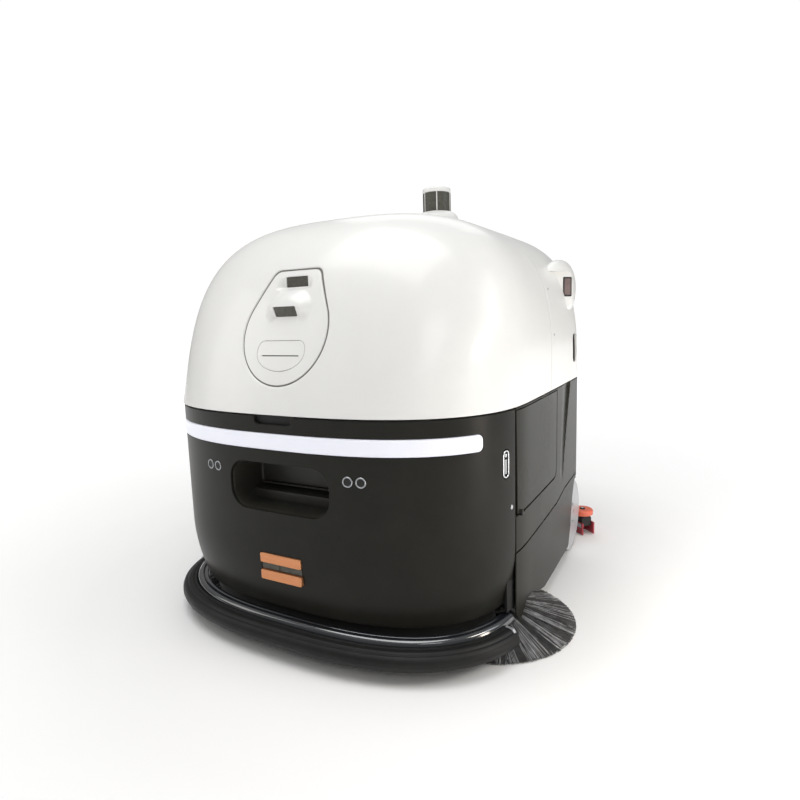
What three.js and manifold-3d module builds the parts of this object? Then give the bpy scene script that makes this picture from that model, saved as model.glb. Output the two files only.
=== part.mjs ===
// Robotic floor cleaner: a commercial scrubbing robot as an assembly of separate parts.
// Millimetres, +Z up. The origin is on the floor under the middle of the machine.
// The machine faces -Y, its left side is +X.

import * as THREE from 'three';
import { mergeVertices } from 'three/addons/utils/BufferGeometryUtils.js';
import Module from 'manifold-3d';

const wasm = await Module();
wasm.setup();

// ---------------------------------------------------------------- driving dimensions

const gap = 0.4;                 // between pieces that touch
const seam = 2.5;                // open line between two outer panels
const arcSegments = 5;           // straight pieces in each rounded corner of a flat outline

// Body plan: a rounded front, nearly straight sides and a square rear
const bodyHalf = 371;
const noseY = -429;              // foremost point of the body at the dome seam
const noseStart = -141;          // where the sides turn into the rounded front
const nosePower = 2.7;
const rearY = 344;
const rearCorner = 60;
const sideBow = 2.5e-5;          // how fast the sides draw in towards the rear, per mm²
const panelWall = 6;

// Heights
const shellBottom = 78;
const domeSeam = 439;
const domeTop = 803;
const tuckHeight = 200;          // below this the front shell tucks in
const tuckDepth = 20;

// Dome: each level's outline depends on s, from 0 at the seam to 1 at the top
const domeBack = 67;             // how far the widest line moves back on the way up
const domeBackPower = 0.73;
const domeDepth = 355;           // from the widest line at the top to the front at the seam
const domeFrontPower = 3.664;
const domeSidePower = 3.225;
const domeRearSlope = 14;
const domeRearRound = 34;        // size of the rounding along the top of the rear
const domeCornerGrowth = 40;
const domeScaleY = -40;          // the inner surface is scaled about this line
const domeShrink = 0.982;        // inner surface over outer surface
const domeLevels = 9;
const domeRings = 0.9975;        // the last ring, which the flat crown closes
const hoodRear = 12.5;           // the hood ends here and the rear shell begins
const rearShellFront = 16;

// Hood hinge: the pins lie in two slots of the rear shell's front edge
const hingeArmX = 150;
const hingeY = 30;
const hingeZ = 796;

// Side openings
const frontSeamY = -222;
const doorRear = 64;
const doorBottom = 247;
const doorTop = 434;
const doorAxisY = 71;
const skirtTop = 182;
const skirtBottom = 31;

// Bumper
const bumperHalf = 402;
const bumperNose = -460;
const bumperEnd = -270;
const bumperBottom = 24;
const bumperTop = 59;
const bumperThick = 30;
const railThick = 20;
const railBottom = 47;
const railTop = 66;

// Light strip, docking recess and charging contacts in the front
const stripLow = 380;
const stripHigh = 409;
const stripHalf = 338;
const stripDepth = 5;
const recessHalf = 110;
const recessLow = 267;
const recessHigh = 355;
const recessDepth = 84;
const contactHalf = 46;
const contactHeight = 18;
const upperContactZ = 170;
const lowerContactZ = 138;

// Running gear
const wheelRadius = 92;
const wheelY = 260;
const wheelFace = 363.8;
const tyreWidth = 40;
const rimRadius = 66;
const wheelCoverRadius = 88;
const wheelCoverDepth = 5.6;
const casterX = 95;
const casterY = -286;
const casterTrail = 22;
const casterRadius = 42;
const casterWidth = 26;
const deckPlate = 150;           // underside of the chassis plate
const plateThick = 8;

// Side brushes
const brushX = 291;
const brushY = -146;
const brushRadius = 166;
const bristleSlope = 0.3;
const bristleApex = 53.5;

// Scrub deck
const rollerRadius = 52;
const rollerLength = 456;
const frontRollerY = 74;
const rearRollerY = 186;
const rollerZ = 54;

// Squeegee
const bladeRearY = 460;
const bladeFlatHalf = 226;       // the blades are straight to here, then curve forwards
const bladeCurve = 242;
const bladeTop = 34;
const frameLow = 22;
const frameHigh = 50;
const squeegeeRollerRadius = 28;

// Suction hose from the squeegee up to the recovery tank's pipe
const hoseY = 296;
const hoseRadius = 21;
const hoseBottom = 105;
const hoseTop = 300;

// Scanner
const scannerY = 270;
const scannerRadius = 37;
const scannerBase = 875;
const scannerTop = 937;

// Facet of a side camera's housing: a point on it in plan, and its turn from straight across
const podFacetX = 361.5;
const podFacetY = 190;
const podFacetTurn = 0.873;

// ---------------------------------------------------------------- solids

const machine = new THREE.Group();

function toSolid(geometry) {
  const bare = geometry.clone();
  bare.deleteAttribute('normal');
  bare.deleteAttribute('uv');
  const merged = mergeVertices(bare, 1e-4);
  return new wasm.Manifold(new wasm.Mesh({
    numProp: 3,
    vertProperties: new Float32Array(merged.attributes.position.array),
    triVerts: new Uint32Array(merged.index.array),
  }));
}

function toGeometry(solid) {
  const mesh = solid.getMesh();
  const geometry = new THREE.BufferGeometry();
  geometry.setAttribute('position', new THREE.BufferAttribute(mesh.vertProperties, 3));
  geometry.setIndex(new THREE.BufferAttribute(mesh.triVerts, 1));
  geometry.computeVertexNormals();
  return geometry;
}

function finish(color, roughness, metalness = 0) {
  return new THREE.MeshStandardMaterial({ color, roughness, metalness });
}

function add(name, solid, material) {
  const mesh = new THREE.Mesh(toGeometry(solid), material);
  mesh.name = name;
  machine.add(mesh);
  return solid;
}

function join(...solids) {
  return solids.reduce((whole, solid) => whole.add(solid));
}

function block(low, high) {
  const size = high.map((value, axis) => value - low[axis]);
  const geometry = new THREE.BoxGeometry(...size);
  geometry.translate(...low.map((value, axis) => value + size[axis] / 2));
  return toSolid(geometry);
}

// A cylinder round the X, Y or Z axis; centre is the middle of its axis.
function round(axis, centre, radius, length, segments = 24) {
  const geometry = new THREE.CylinderGeometry(radius, radius, length, segments);
  if (axis === 'x') geometry.rotateZ(-Math.PI / 2);
  if (axis === 'z') geometry.rotateX(Math.PI / 2);
  geometry.translate(...centre);
  return toSolid(geometry);
}

// A turned solid round a vertical axis, from [radius, height] points.
function turned(profile, x, y, segments = 24) {
  const points = profile.map(([r, z]) => new THREE.Vector2(r, z));
  const geometry = new THREE.LatheGeometry(points, segments);
  geometry.rotateX(Math.PI / 2);
  geometry.translate(x, y, 0);
  return toSolid(geometry);
}

// A prism along Z from [x, y] points, along Y from [x, z] points, or along X from [y, z] points.
function prism(axis, outline, from, to) {
  const shape = outline instanceof THREE.Shape
    ? outline
    : new THREE.Shape(outline.map(([u, v]) => new THREE.Vector2(u, v)));
  const geometry = new THREE.ExtrudeGeometry(shape, {
    depth: to - from, bevelEnabled: false, curveSegments: arcSegments,
  });
  if (axis === 'z') geometry.translate(0, 0, from);
  if (axis === 'y') {
    geometry.rotateX(Math.PI / 2);
    geometry.translate(0, to, 0);
  }
  if (axis === 'x') {
    const turn = new THREE.Matrix4().set(0, 0, 1, 0, 1, 0, 0, 0, 0, 1, 0, 0, 0, 0, 0, 1);
    geometry.applyMatrix4(turn);
    geometry.translate(from, 0, 0);
  }
  return toSolid(geometry);
}

function roundedRect(u0, v0, u1, v1, radius) {
  const shape = new THREE.Shape();
  shape.absarc(u1 - radius, v0 + radius, radius, -Math.PI / 2, 0, false);
  shape.absarc(u1 - radius, v1 - radius, radius, 0, Math.PI / 2, false);
  shape.absarc(u0 + radius, v1 - radius, radius, Math.PI / 2, Math.PI, false);
  shape.absarc(u0 + radius, v0 + radius, radius, Math.PI, 1.5 * Math.PI, false);
  shape.closePath();
  return shape;
}

// A closed solid through rings of equal length; each ring is [[x, y, z], ...], anticlockwise.
function loft(rings) {
  const count = rings[0].length;
  const positions = rings.flat(2);
  const faces = [];
  for (let level = 0; level + 1 < rings.length; level++) {
    for (let i = 0; i < count; i++) {
      const a = level * count + i;
      const b = level * count + (i + 1) % count;
      faces.push(a, b, b + count, a, b + count, a + count);
    }
  }
  const bottom = rings[0].map(([x, y]) => new THREE.Vector2(x, y));
  const last = (rings.length - 1) * count;
  const top = rings[rings.length - 1].map(([x, y]) => new THREE.Vector2(x, y));
  for (const [a, b, c] of THREE.ShapeUtils.triangulateShape(bottom, [])) faces.push(a, c, b);
  for (const [a, b, c] of THREE.ShapeUtils.triangulateShape(top, [])) {
    faces.push(last + a, last + b, last + c);
  }
  const geometry = new THREE.BufferGeometry();
  geometry.setAttribute('position', new THREE.Float32BufferAttribute(positions, 3));
  geometry.setIndex(faces);
  return toSolid(geometry);
}

// ---------------------------------------------------------------- plan outlines

function curved(value, power) {
  return Math.sign(value) * Math.abs(value) ** (2 / power);
}

// The rounded nose from the left of the outline, through the front, to its right.
function noseArc({ half, front, start, power }, steps) {
  const points = [];
  for (let i = 0; i <= steps; i++) {
    const angle = Math.PI * (1 + i / steps);
    const x = i === 0 || i === steps ? Math.sign(Math.cos(angle)) : curved(Math.cos(angle), power);
    const y = i === 0 || i === steps ? 0 : curved(Math.sin(angle), power);
    points.push([half * x, start + (start - front) * y]);
  }
  return points;
}

// The whole body outline: nose, bowed sides and rounded rear corners.
function bodyOutline({ half, front, start, power, rear, corner }) {
  const noseSteps = 20;
  const sideSteps = 2;
  const cornerSteps = 3;
  const sideX = (y) => half - sideBow * (y - start) ** 2;
  const left = [];
  for (let i = 1; i <= sideSteps; i++) {
    const y = start + ((rear - corner - start) * i) / sideSteps;
    left.push([sideX(y), y]);
  }
  const centreX = sideX(rear - corner) - corner;
  for (let i = 1; i <= cornerSteps; i++) {
    const angle = (Math.PI / 2) * (i / cornerSteps);
    left.push([centreX + corner * Math.cos(angle), rear - corner + corner * Math.sin(angle)]);
  }
  const right = left.map(([x, y]) => [-x, y]).reverse();
  return [...noseArc({ half, front, start, power }, noseSteps), ...left, ...right];
}

function atHeight(outline, z) {
  return outline.map(([x, y]) => [x, y, z]);
}

// The body outline moved inwards.
function bodyRing(inset, z, tuck = 0) {
  return atHeight(bodyOutline({
    half: bodyHalf - inset - tuck,
    front: noseY + inset + tuck,
    start: noseStart,
    power: nosePower,
    rear: rearY - inset,
    corner: rearCorner - inset,
  }), z);
}

// How far the front shell is tucked in at a height: nothing above tuckHeight, all of it at its lower edge.
function tuckAt(z) {
  const drop = Math.min(Math.max(tuckHeight - z, 0) / (tuckHeight - shellBottom), 1);
  return tuckDepth * drop ** 2;
}

function bodySolid(inset, low, high) {
  return loft([bodyRing(inset, low), bodyRing(inset, high)]);
}

function tuckedSolid(inset, low, high) {
  const between = [shellBottom, 110, 150, tuckHeight].filter((z) => z > low && z < high);
  const heights = [low, ...between, high];
  return loft(heights.map((z) => bodyRing(inset, z, tuckAt(z))));
}

// ---------------------------------------------------------------- dome outline

function domeOutline(s) {
  const depth = domeDepth * (1 - s) ** (1 / domeFrontPower);
  const half = bodyHalf * (1 - s ** domeFrontPower) ** (1 / domeSidePower);
  const rearRound = domeRearRound * (1 - Math.sqrt(1 - s ** 10));
  return bodyOutline({
    half,
    front: noseStart + domeBack - depth,
    start: noseStart + domeBack * s ** domeBackPower,
    power: nosePower + 0.08 + 0.22 * s,
    rear: rearY - domeRearSlope * s - rearRound,
    corner: Math.min(rearCorner + domeCornerGrowth * s, half * 0.85),
  });
}

// The dome scaled about a point on its floor, so that a smaller copy is its inner surface.
function domeSolid(scale, floor) {
  const rings = [];
  for (let i = 0; i <= domeLevels; i++) {
    const s = domeRings * (1 - (1 - i / domeLevels) ** 2.2);
    const rise = (domeTop - domeSeam) * s;
    rings.push(domeOutline(s).map(([x, y]) => [
      x * scale, domeScaleY + (y - domeScaleY) * scale, floor + rise * scale,
    ]));
  }
  return loft(rings);
}

// How far forward the dome's front face is at a height, on the middle line.
function domeFrontY(z) {
  const s = (z - domeSeam) / (domeTop - domeSeam);
  return noseStart + domeBack - domeDepth * (1 - s) ** (1 / domeFrontPower);
}

// ---------------------------------------------------------------- materials

const whiteShell = finish(0xe6e5e0, 0.35);
const blackShell = finish(0x32322d, 0.32);
const darkPlastic = finish(0x1c1c1b, 0.55);
const glossBlack = finish(0x0d0d0e, 0.12);
const rubber = finish(0x1f2022, 0.75);
const frameSteel = finish(0x6d7075, 0.45, 0.8);
const silver = finish(0xb9bcc0, 0.4, 0.3);
const copper = finish(0xb8703f, 0.4, 0.7);
const lightWhite = finish(0xf4f7ff, 0.3);
const bristle = finish(0x3a3c3f, 0.8);
const rollerRed = finish(0xe2553f, 0.45);
const bladeRed = finish(0x8e1c22, 0.5);
const tankGrey = finish(0xc9ccce, 0.5);
const cellBlue = finish(0x35506b, 0.5);
const glass = finish(0x101216, 0.08);

// ---------------------------------------------------------------- front of the body

// The rounded opening in the front; grow widens it on all sides.
function recessHole(grow, from, to) {
  return prism('y', roundedRect(
    -recessHalf - grow, recessLow - grow, recessHalf + grow, recessHigh + grow, 36 + grow,
  ), from, to);
}

function contactBar(low, grow) {
  return block(
    [-contactHalf - grow, noseY - 3, low - grow],
    [contactHalf + grow, noseY + 16, low + contactHeight + grow],
  );
}

function stripBand(grow) {
  return prism('y', roundedRect(
    -stripHalf - grow, stripLow - grow, stripHalf + grow, stripHigh + grow, 13,
  ), noseY - 40, -250);
}

function makeFront() {
  const ahead = block([-420, noseY - 40, 0], [420, frontSeamY - seam / 2, 500]);
  const inside = tuckedSolid(panelWall, shellBottom - 30, domeSeam + 10);
  const stripBack = tuckedSolid(stripDepth, shellBottom, domeSeam);
  const stripGroove = stripBand(gap).subtract(stripBack);
  const notch = prism('y', roundedRect(-40, 425, 40, 450, 6), noseY - 10, noseY + 4);
  const shell = tuckedSolid(0, shellBottom, domeSeam)
    .subtract(inside)
    .intersect(ahead)
    .subtract(stripGroove)
    .subtract(notch)
    .subtract(recessHole(0, noseY - 20, noseY + 60))
    .subtract(block(
      [-contactHalf - gap, noseY - 20, lowerContactZ - gap],
      [contactHalf + gap, noseY + 5, upperContactZ + contactHeight + gap],
    ));
  const holder = block([-52, noseY + 4.6, 132], [52, noseY + 20, 194])
    .intersect(tuckedSolid(panelWall - 2, shellBottom, domeSeam));
  const bars = [upperContactZ, lowerContactZ].map((low) => contactBar(low, gap));
  const latchHoles = [-1, 1].map((side) => sided(latchPaddle(1.2), side));
  const frontShell = [...bars, ...latchHoles]
    .reduce((left, hole) => left.subtract(hole), join(shell, holder));
  add('front_shell', frontShell, blackShell);

  const strip = stripBand(0)
    .intersect(tuckedSolid(-1, shellBottom, domeSeam))
    .subtract(tuckedSolid(stripDepth - gap, shellBottom - 5, domeSeam + 5))
    .intersect(ahead);
  add('light_strip', strip, lightWhite);

  const pocketBack = noseY + recessDepth;
  const pocket = recessHole(5, noseY, pocketBack + 5)
    .subtract(recessHole(0, noseY - 5, pocketBack))
    .intersect(tuckedSolid(panelWall + gap, shellBottom, domeSeam));
  const ledge = block(
    [2 - recessHalf, noseY + 52, recessLow], [recessHalf - 2, pocketBack, recessLow + 21],
  );
  const ledgeInPocket = ledge.intersect(recessHole(1, noseY, pocketBack + 1));
  add('docking_recess', join(pocket, ledgeInPocket), darkPlastic);

  add('upper_charging_contact', contactBar(upperContactZ, 0), copper);
  add('lower_charging_contact', contactBar(lowerContactZ, 0), copper);

  const toe = tuckedSolid(22, 40, 120)
    .subtract(tuckedSolid(28, 30, 130))
    .intersect(block([-420, noseY, 0], [420, -262, 500]));
  add('toe_panel', toe, darkPlastic);
}

// ---------------------------------------------------------------- sides

// Everything on one side is made for +X and mirrored for -X.
function sided(solid, side) {
  return side > 0 ? solid : solid.mirror([1, 0, 0]);
}

function sideName(side) {
  return side > 0 ? 'left' : 'right';
}

// Room for a drive wheel behind the skirt, which is thin there.
function wheelPocket() {
  const outerX = wheelFace + gap;
  return round('x', [outerX - 60, wheelY, wheelRadius], wheelRadius + 5, 120, 40);
}

// The lower edge of a skirt: a pointed nose, a cut over the side brush, then a straight line.
const skirtEdge = [
  [frontSeamY + seam / 2, 60], [-197, 43], [-172, 64], [-130, 62],
  [-90, 50], [-36, skirtBottom], [200, skirtBottom],
];

// Its rear edge, which covers the front part of the drive wheel.
const skirtRearEdge = [
  [211, 50], [225, 78], [234, 112], [246, 146], [262, 172], [280, 186], [rearY - 40, 191],
];

function makeSide(side) {
  const wall = bodySolid(0, 0, domeSeam).subtract(bodySolid(panelWall, -10, domeSeam + 10));
  const name = sideName(side);
  const rearLimit = rearY - 40;

  const skirtOutline = [
    ...skirtEdge, ...skirtRearEdge,
    [rearLimit, 196], [150, 193], [70, skirtTop - 1.2], [frontSeamY + seam / 2, skirtTop - 7],
  ];
  const skirt = wall
    .intersect(prism('x', skirtOutline, 250, 420))
    .subtract(wheelPocket());
  add(`${name}_skirt`, sided(skirt, side), blackShell);

  const panelOutline = [
    [frontSeamY + seam / 2, skirtTop - 7 + seam], [70, skirtTop - 1.2 + seam], [150, 193 + seam],
    [rearLimit, 196 + seam], [rearLimit, domeSeam], [frontSeamY + seam / 2, domeSeam],
  ];
  const doorway = block(
    [300, frontSeamY - 20, doorBottom - seam], [420, doorAxisY + 5, doorTop + seam],
  );
  const pinX = bodyHalf - sideBow * (doorAxisY - noseStart) ** 2;
  const pin = round('z', [pinX, doorAxisY, (doorBottom + doorTop) / 2], 3, doorTop - doorBottom + 8, 12);
  const topRail = wall.intersect(block(
    [250, frontSeamY + seam / 2, doorTop + seam], [420, rearLimit, domeSeam],
  ));
  const panel = wall.intersect(prism('x', panelOutline, 250, 420)).subtract(doorway);
  add(`${name}_side_panel`, sided(join(panel, topRail, pin), side), blackShell);

  const pull = block([362, frontSeamY + 22, doorBottom - 1.6], [366, frontSeamY + 44, doorBottom + 6]);
  const door = wall.intersect(block(
    [300, frontSeamY + seam / 2, doorBottom], [420, doorRear, doorTop],
  ));
  add(`${name}_door`, sided(join(door, pull), side), blackShell);
}

// ---------------------------------------------------------------- rear of the body

function makeRear() {
  const wall = bodySolid(0, 0, domeSeam).subtract(bodySolid(panelWall, -10, domeSeam + 10));
  const panel = wall.intersect(block(
    [-420, rearY - 40 + seam, 176], [420, rearY + 10, domeSeam],
  ));
  add('rear_panel', panel, blackShell);
}

// ---------------------------------------------------------------- dome

// The teardrop panel in the hood's front: flat top, round lower end.
function teardrop(grow) {
  const shape = new THREE.Shape();
  const topZ = 691 + grow;
  const topHalf = 49 + grow;
  const ballZ = 582;
  const ballRadius = 91 + grow;
  const tangent = 0.43;
  shape.moveTo(-topHalf + 13, topZ);
  shape.quadraticCurveTo(-topHalf, topZ, -topHalf - 5.5, topZ - 13);
  shape.lineTo(-ballRadius * Math.cos(tangent), ballZ + ballRadius * Math.sin(tangent));
  shape.absarc(0, ballZ, ballRadius, Math.PI - tangent, 2 * Math.PI + tangent, false);
  shape.lineTo(topHalf + 5.5, topZ - 13);
  shape.quadraticCurveTo(topHalf, topZ, topHalf - 13, topZ);
  shape.closePath();
  return prism('y', shape, noseY - 30, -250);
}

// The cover low in the teardrop panel: flat top, rounded corners, lower edge half an ellipse.
function ovalPlate(grow, from, to) {
  const shape = new THREE.Shape();
  shape.moveTo(-36, 567 + grow);
  shape.lineTo(36, 567 + grow);
  shape.quadraticCurveTo(52 + grow, 567 + grow, 52 + grow, 547);
  shape.absellipse(0, 547, 52 + grow, 31.5 + grow, 0, Math.PI, true);
  shape.quadraticCurveTo(-52 - grow, 567 + grow, -36, 567 + grow);
  return prism('y', shape, from, to);
}

// The upper camera's window is upright, in a recess that gets deeper downwards.
function upperWindow(grow, front) {
  return block([-24 - grow, front, 661.5 - grow], [24 + grow, domeFrontY(679.5) + 17, 679.5 + grow]);
}

// The lower camera's window leans forwards under the brow.
function lowerWindow(grow, front) {
  const base = domeFrontY(609);
  return prism('x', [
    [base + 0.8 - front, 609 - grow], [base - 8.2 - front, 626 + grow],
    [base + 14, 626 + grow], [base + 14, 609 - grow],
  ], -24 - grow, 24 + grow);
}

function makeDome() {
  const outer = domeSolid(1, domeSeam + seam);
  const inner = domeSolid(domeShrink, domeSeam - 2);
  const shell = outer.subtract(inner);
  const ahead = block([-420, noseY - 40, 400], [420, hoodRear, 900]);
  const panelInner = domeSolid(0.987, domeSeam - 2);

  const hood = shell.intersect(ahead).subtract(teardrop(1.2));
  add('hood', hood, whiteShell);

  const lowerFront = domeFrontY(609);
  const plateFront = domeFrontY(541);
  const brow = prism('x', [
    [lowerFront - 9.4, 626.6], [lowerFront - 7, 634], [domeFrontY(655) + 1, 655],
    [lowerFront + 24, 640], [lowerFront + 12, 600], [domeFrontY(601) + 0.5, 601], [lowerFront, 608.4],
  ], -42, 42);
  const panel = outer.subtract(panelInner)
    .intersect(teardrop(0))
    .add(brow)
    .subtract(upperWindow(gap, domeFrontY(661) - 20))
    .subtract(lowerWindow(gap, 20))
    .subtract(ovalPlate(gap, plateFront - 20, plateFront + 40));
  add('camera_panel', panel, whiteShell);
  add('upper_camera', upperWindow(0, domeFrontY(679.5) + 1), glass);
  add('lower_camera', lowerWindow(0, 0), glass);
  const plate = outer.subtract(panelInner).intersect(ovalPlate(0, plateFront - 20, plateFront + 40));
  add('oval_plate', plate, whiteShell);

  const slots = [-1, 1].map((side) => block(
    [side * hingeArmX - 16, 0, 760], [side * hingeArmX + 16, hingeY + 14, 830],
  ));
  const behind = block([-420, rearShellFront, 400], [420, 500, 900]);
  const screenHole = block([-118, rearY - 60, 598], [118, rearY + 20, 742]);
  const stopHole = round('y', [200, rearY - 10, 640], 19, 80);
  const powerHole = round('y', [200, rearY - 10, 700], 12, 80);
  const pods = [-1, 1].map((side) => sided(makePod(), side).subtract(inner));
  const rearShell = join(shell.intersect(behind), pods[0], pods[1], makePedestal().subtract(inner))
    .subtract(slots[0])
    .subtract(slots[1])
    .subtract(screenHole)
    .subtract(stopHole)
    .subtract(powerHole);
  add('rear_shell', rearShell, whiteShell);
}

// The scanner's pedestal, from [height, half width, reach forwards, reach backwards] rings.
function makePedestal() {
  const levels = [
    [790, 74, 112, 44], [845, 60, 84, 43], [865, 52, 58, 42], [scannerBase - gap, 42, 42, 41],
  ];
  const steps = 28;
  return loft(levels.map(([z, half, forward, backward]) => {
    const ring = [];
    for (let i = 0; i < steps; i++) {
      const angle = (2 * Math.PI * i) / steps;
      const reach = Math.sin(angle) < 0 ? forward : backward;
      ring.push([half * Math.cos(angle), scannerY + reach * Math.sin(angle), z]);
    }
    return ring;
  }));
}

// The raised housing of a side camera. A flat facet, with the camera's opening, faces forwards and out.
function makePod() {
  const pod = new THREE.SphereGeometry(1, 16, 10);
  pod.scale(31, 110, 58);
  pod.translate(340, 210, 655);
  const along = [Math.cos(podFacetTurn), Math.sin(podFacetTurn)];
  const facetPoint = (distance, depth) => [
    podFacetX + along[0] * distance - along[1] * depth,
    podFacetY + along[1] * distance + along[0] * depth,
  ];
  const ahead = prism('z', [
    facetPoint(-100, 0), facetPoint(60, 0), facetPoint(60, -100), facetPoint(-100, -100),
  ], 560, 760);
  const opening = prism('z', [
    facetPoint(-9, -1), facetPoint(9, -1), facetPoint(9, 7), facetPoint(-9, 7),
  ], 641, 679);
  return toSolid(pod).subtract(ahead).subtract(opening);
}

// Two curved arms under the hood, joined by a cross bar, each with a short pin at its rear end.
function makeHingeFrame() {
  const barY = -66;
  const bar = block([-hingeArmX, barY, 776], [hingeArmX, barY + 8, 784]);
  const arms = [-1, 1].map((side) => {
    const x = side * hingeArmX;
    const arm = prism('x', [
      [hingeY + 7, hingeZ - 6], [hingeY + 7, hingeZ + 5], [hingeY - 7, hingeZ + 5],
      [hingeY - 19, 784], [barY, 784], [barY, 776], [hingeY - 18, 776],
    ], x - 7, x + 7);
    return arm.add(round('x', [x, hingeY, hingeZ], 4, 28, 12));
  });
  add('hinge_frame', join(bar, arms[0], arms[1]), frameSteel);
}

function makeRearControls() {
  const face = rearY - 6;
  add('touch_screen', block([-117, face - 20, 599], [117, face - 2, 741]), glass);
  const stopButton = join(
    round('y', [200, face - 6, 640], 18, 30),
    round('y', [200, face + 15, 640], 24, 14),
  );
  add('emergency_stop', stopButton, finish(0xc8191e, 0.4));
  add('power_button', round('y', [200, face - 8, 700], 11, 26), silver);
}

// ---------------------------------------------------------------- scanner

function makeScanner() {
  const windowTop = scannerTop - 14;
  const ring = turned([
    [scannerRadius - 4, scannerBase], [scannerRadius, scannerBase], [scannerRadius, windowTop],
    [scannerRadius - 4, windowTop], [scannerRadius - 4, scannerBase],
  ], 0, scannerY);
  add('scanner_window', ring, glass);
  add('scanner_cap', turned([
    [0, windowTop + gap], [scannerRadius, windowTop + gap], [scannerRadius, scannerTop - 5],
    [scannerRadius - 6, scannerTop], [0, scannerTop],
  ], 0, scannerY), whiteShell);
  add('scanner_rotor', turned([
    [0, scannerBase + 2], [scannerRadius - 8, scannerBase + 2], [scannerRadius - 8, windowTop - 3],
    [0, windowTop - 3],
  ], 0, scannerY), darkPlastic);
}

// ---------------------------------------------------------------- bumper

// A band that follows the bumper's plan, from offset outer to offset inner behind its face.
function bumperBand(outer, inner, profile) {
  const plan = (offset) => noseArc({
    half: bumperHalf - offset, front: bumperNose + offset, start: noseStart, power: nosePower,
  }, 24);
  const rings = profile.map(([depth, z]) => {
    const front = plan(outer + depth * (inner - outer));
    return [...front, [bumperHalf - outer, 60], [-bumperHalf + outer, 60]].map(([x, y]) => [x, y, z]);
  });
  return loft(rings);
}

function makeBumper() {
  const keep = block([-420, bumperNose - 10, 0], [420, bumperEnd, 100]);
  const middle = (bumperBottom + bumperTop) / 2;
  const outerFace = bumperBand(0, 10, [
    [1, bumperBottom], [0.25, bumperBottom + 6], [0, middle], [0.25, bumperTop - 6], [1, bumperTop],
  ]);
  const innerFace = bumperBand(bumperThick, bumperThick, [[0, bumperBottom - 10], [0, bumperTop + 10]]);
  add('bumper', outerFace.subtract(innerFace).intersect(keep), rubber);

  const railKeep = block([-420, bumperNose - 10, 0], [420, bumperEnd + 18, 100]);
  const railOffset = bumperThick + gap;
  const railOuter = bumperBand(railOffset, railOffset, [[0, railBottom], [0, railTop]]);
  const railBack = railOffset + railThick;
  const railInner = bumperBand(railBack, railBack, [[0, railBottom - 10], [0, railTop + 10]]);
  add('bumper_rail', railOuter.subtract(railInner).intersect(railKeep), glossBlack);
}

// ---------------------------------------------------------------- running gear

function makeDriveWheel(side) {
  const name = sideName(side);
  const tyreFace = wheelFace - wheelCoverDepth - gap;
  const middleX = tyreFace - tyreWidth / 2;
  const tyre = round('x', [middleX, wheelY, wheelRadius], wheelRadius, tyreWidth, 32)
    .subtract(round('x', [middleX, wheelY, wheelRadius], rimRadius + gap, tyreWidth + 10, 24));
  add(`${name}_tyre`, sided(tyre, side), rubber);
  const hub = join(
    round('x', [middleX + 2, wheelY, wheelRadius], rimRadius, tyreWidth - 2, 24),
    round('x', [tyreFace, wheelY, wheelRadius], rimRadius - 4, 4, 24),
    round('x', [wheelFace - wheelCoverDepth / 2, wheelY, wheelRadius], wheelCoverRadius, wheelCoverDepth, 32),
  );
  add(`${name}_wheel_hub`, sided(hub, side), silver);
  const motor = join(
    round('x', [282, wheelY, wheelRadius], 38, 70, 20),
    block([250, wheelY - 30, wheelRadius], [306, wheelY + 30, deckPlate - gap]),
  );
  add(`${name}_drive_motor`, sided(motor, side), frameSteel);
}

function makeCaster(side) {
  const name = sideName(side);
  const wheelCentre = [casterX, casterY + casterTrail, casterRadius];
  const cheeks = [-1, 1].map((cheek) => {
    const x = casterX + cheek * (casterWidth / 2 + 4);
    return prism('x', [
      [casterY + casterTrail - 12, casterRadius - 12], [casterY + casterTrail + 12, casterRadius - 12],
      [casterY + casterTrail + 14, 100], [casterY - 20, 100], [casterY - 20, 84],
    ], x - 2, x + 2);
  });
  const head = block(
    [casterX - casterWidth / 2 - 6, casterY - 20, 94],
    [casterX + casterWidth / 2 + 6, casterY + casterTrail + 14, 102],
  );
  const stem = round('z', [casterX, casterY, 122], 14, 44, 16);
  const axle = round('x', wheelCentre, 5, casterWidth + 12, 12);
  const fork = join(head, stem, axle, cheeks[0], cheeks[1]);
  add(`${name}_caster_fork`, sided(fork, side), frameSteel);
  const wheel = round('x', wheelCentre, casterRadius, casterWidth, 28)
    .subtract(round('x', wheelCentre, 5 + gap, casterWidth + 10, 12));
  add(`${name}_caster_wheel`, sided(wheel, side), rubber);
}

// ---------------------------------------------------------------- cleaning gear

function makeSideBrush(side) {
  const name = sideName(side);
  const rimZ = bristleApex - bristleSlope * brushRadius;
  const hubRadius = 45;
  const brush = turned([
    [0, 26], [38, 26], [70, 24], [brushRadius - 14, 2], [brushRadius, 2], [brushRadius, rimZ],
    [hubRadius, bristleApex - bristleSlope * hubRadius], [24, 56.4], [0, 56.4],
  ], brushX, brushY, 28);
  add(`${name}_side_brush`, sided(brush, side), bristle);
  const motor = join(
    round('z', [brushX, brushY, 92], 33, 70, 20),
    block([brushX - 20, brushY, 112], [brushX + 20, -60, 126]),
  );
  add(`${name}_side_brush_motor`, sided(motor, side), darkPlastic);
}

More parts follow.
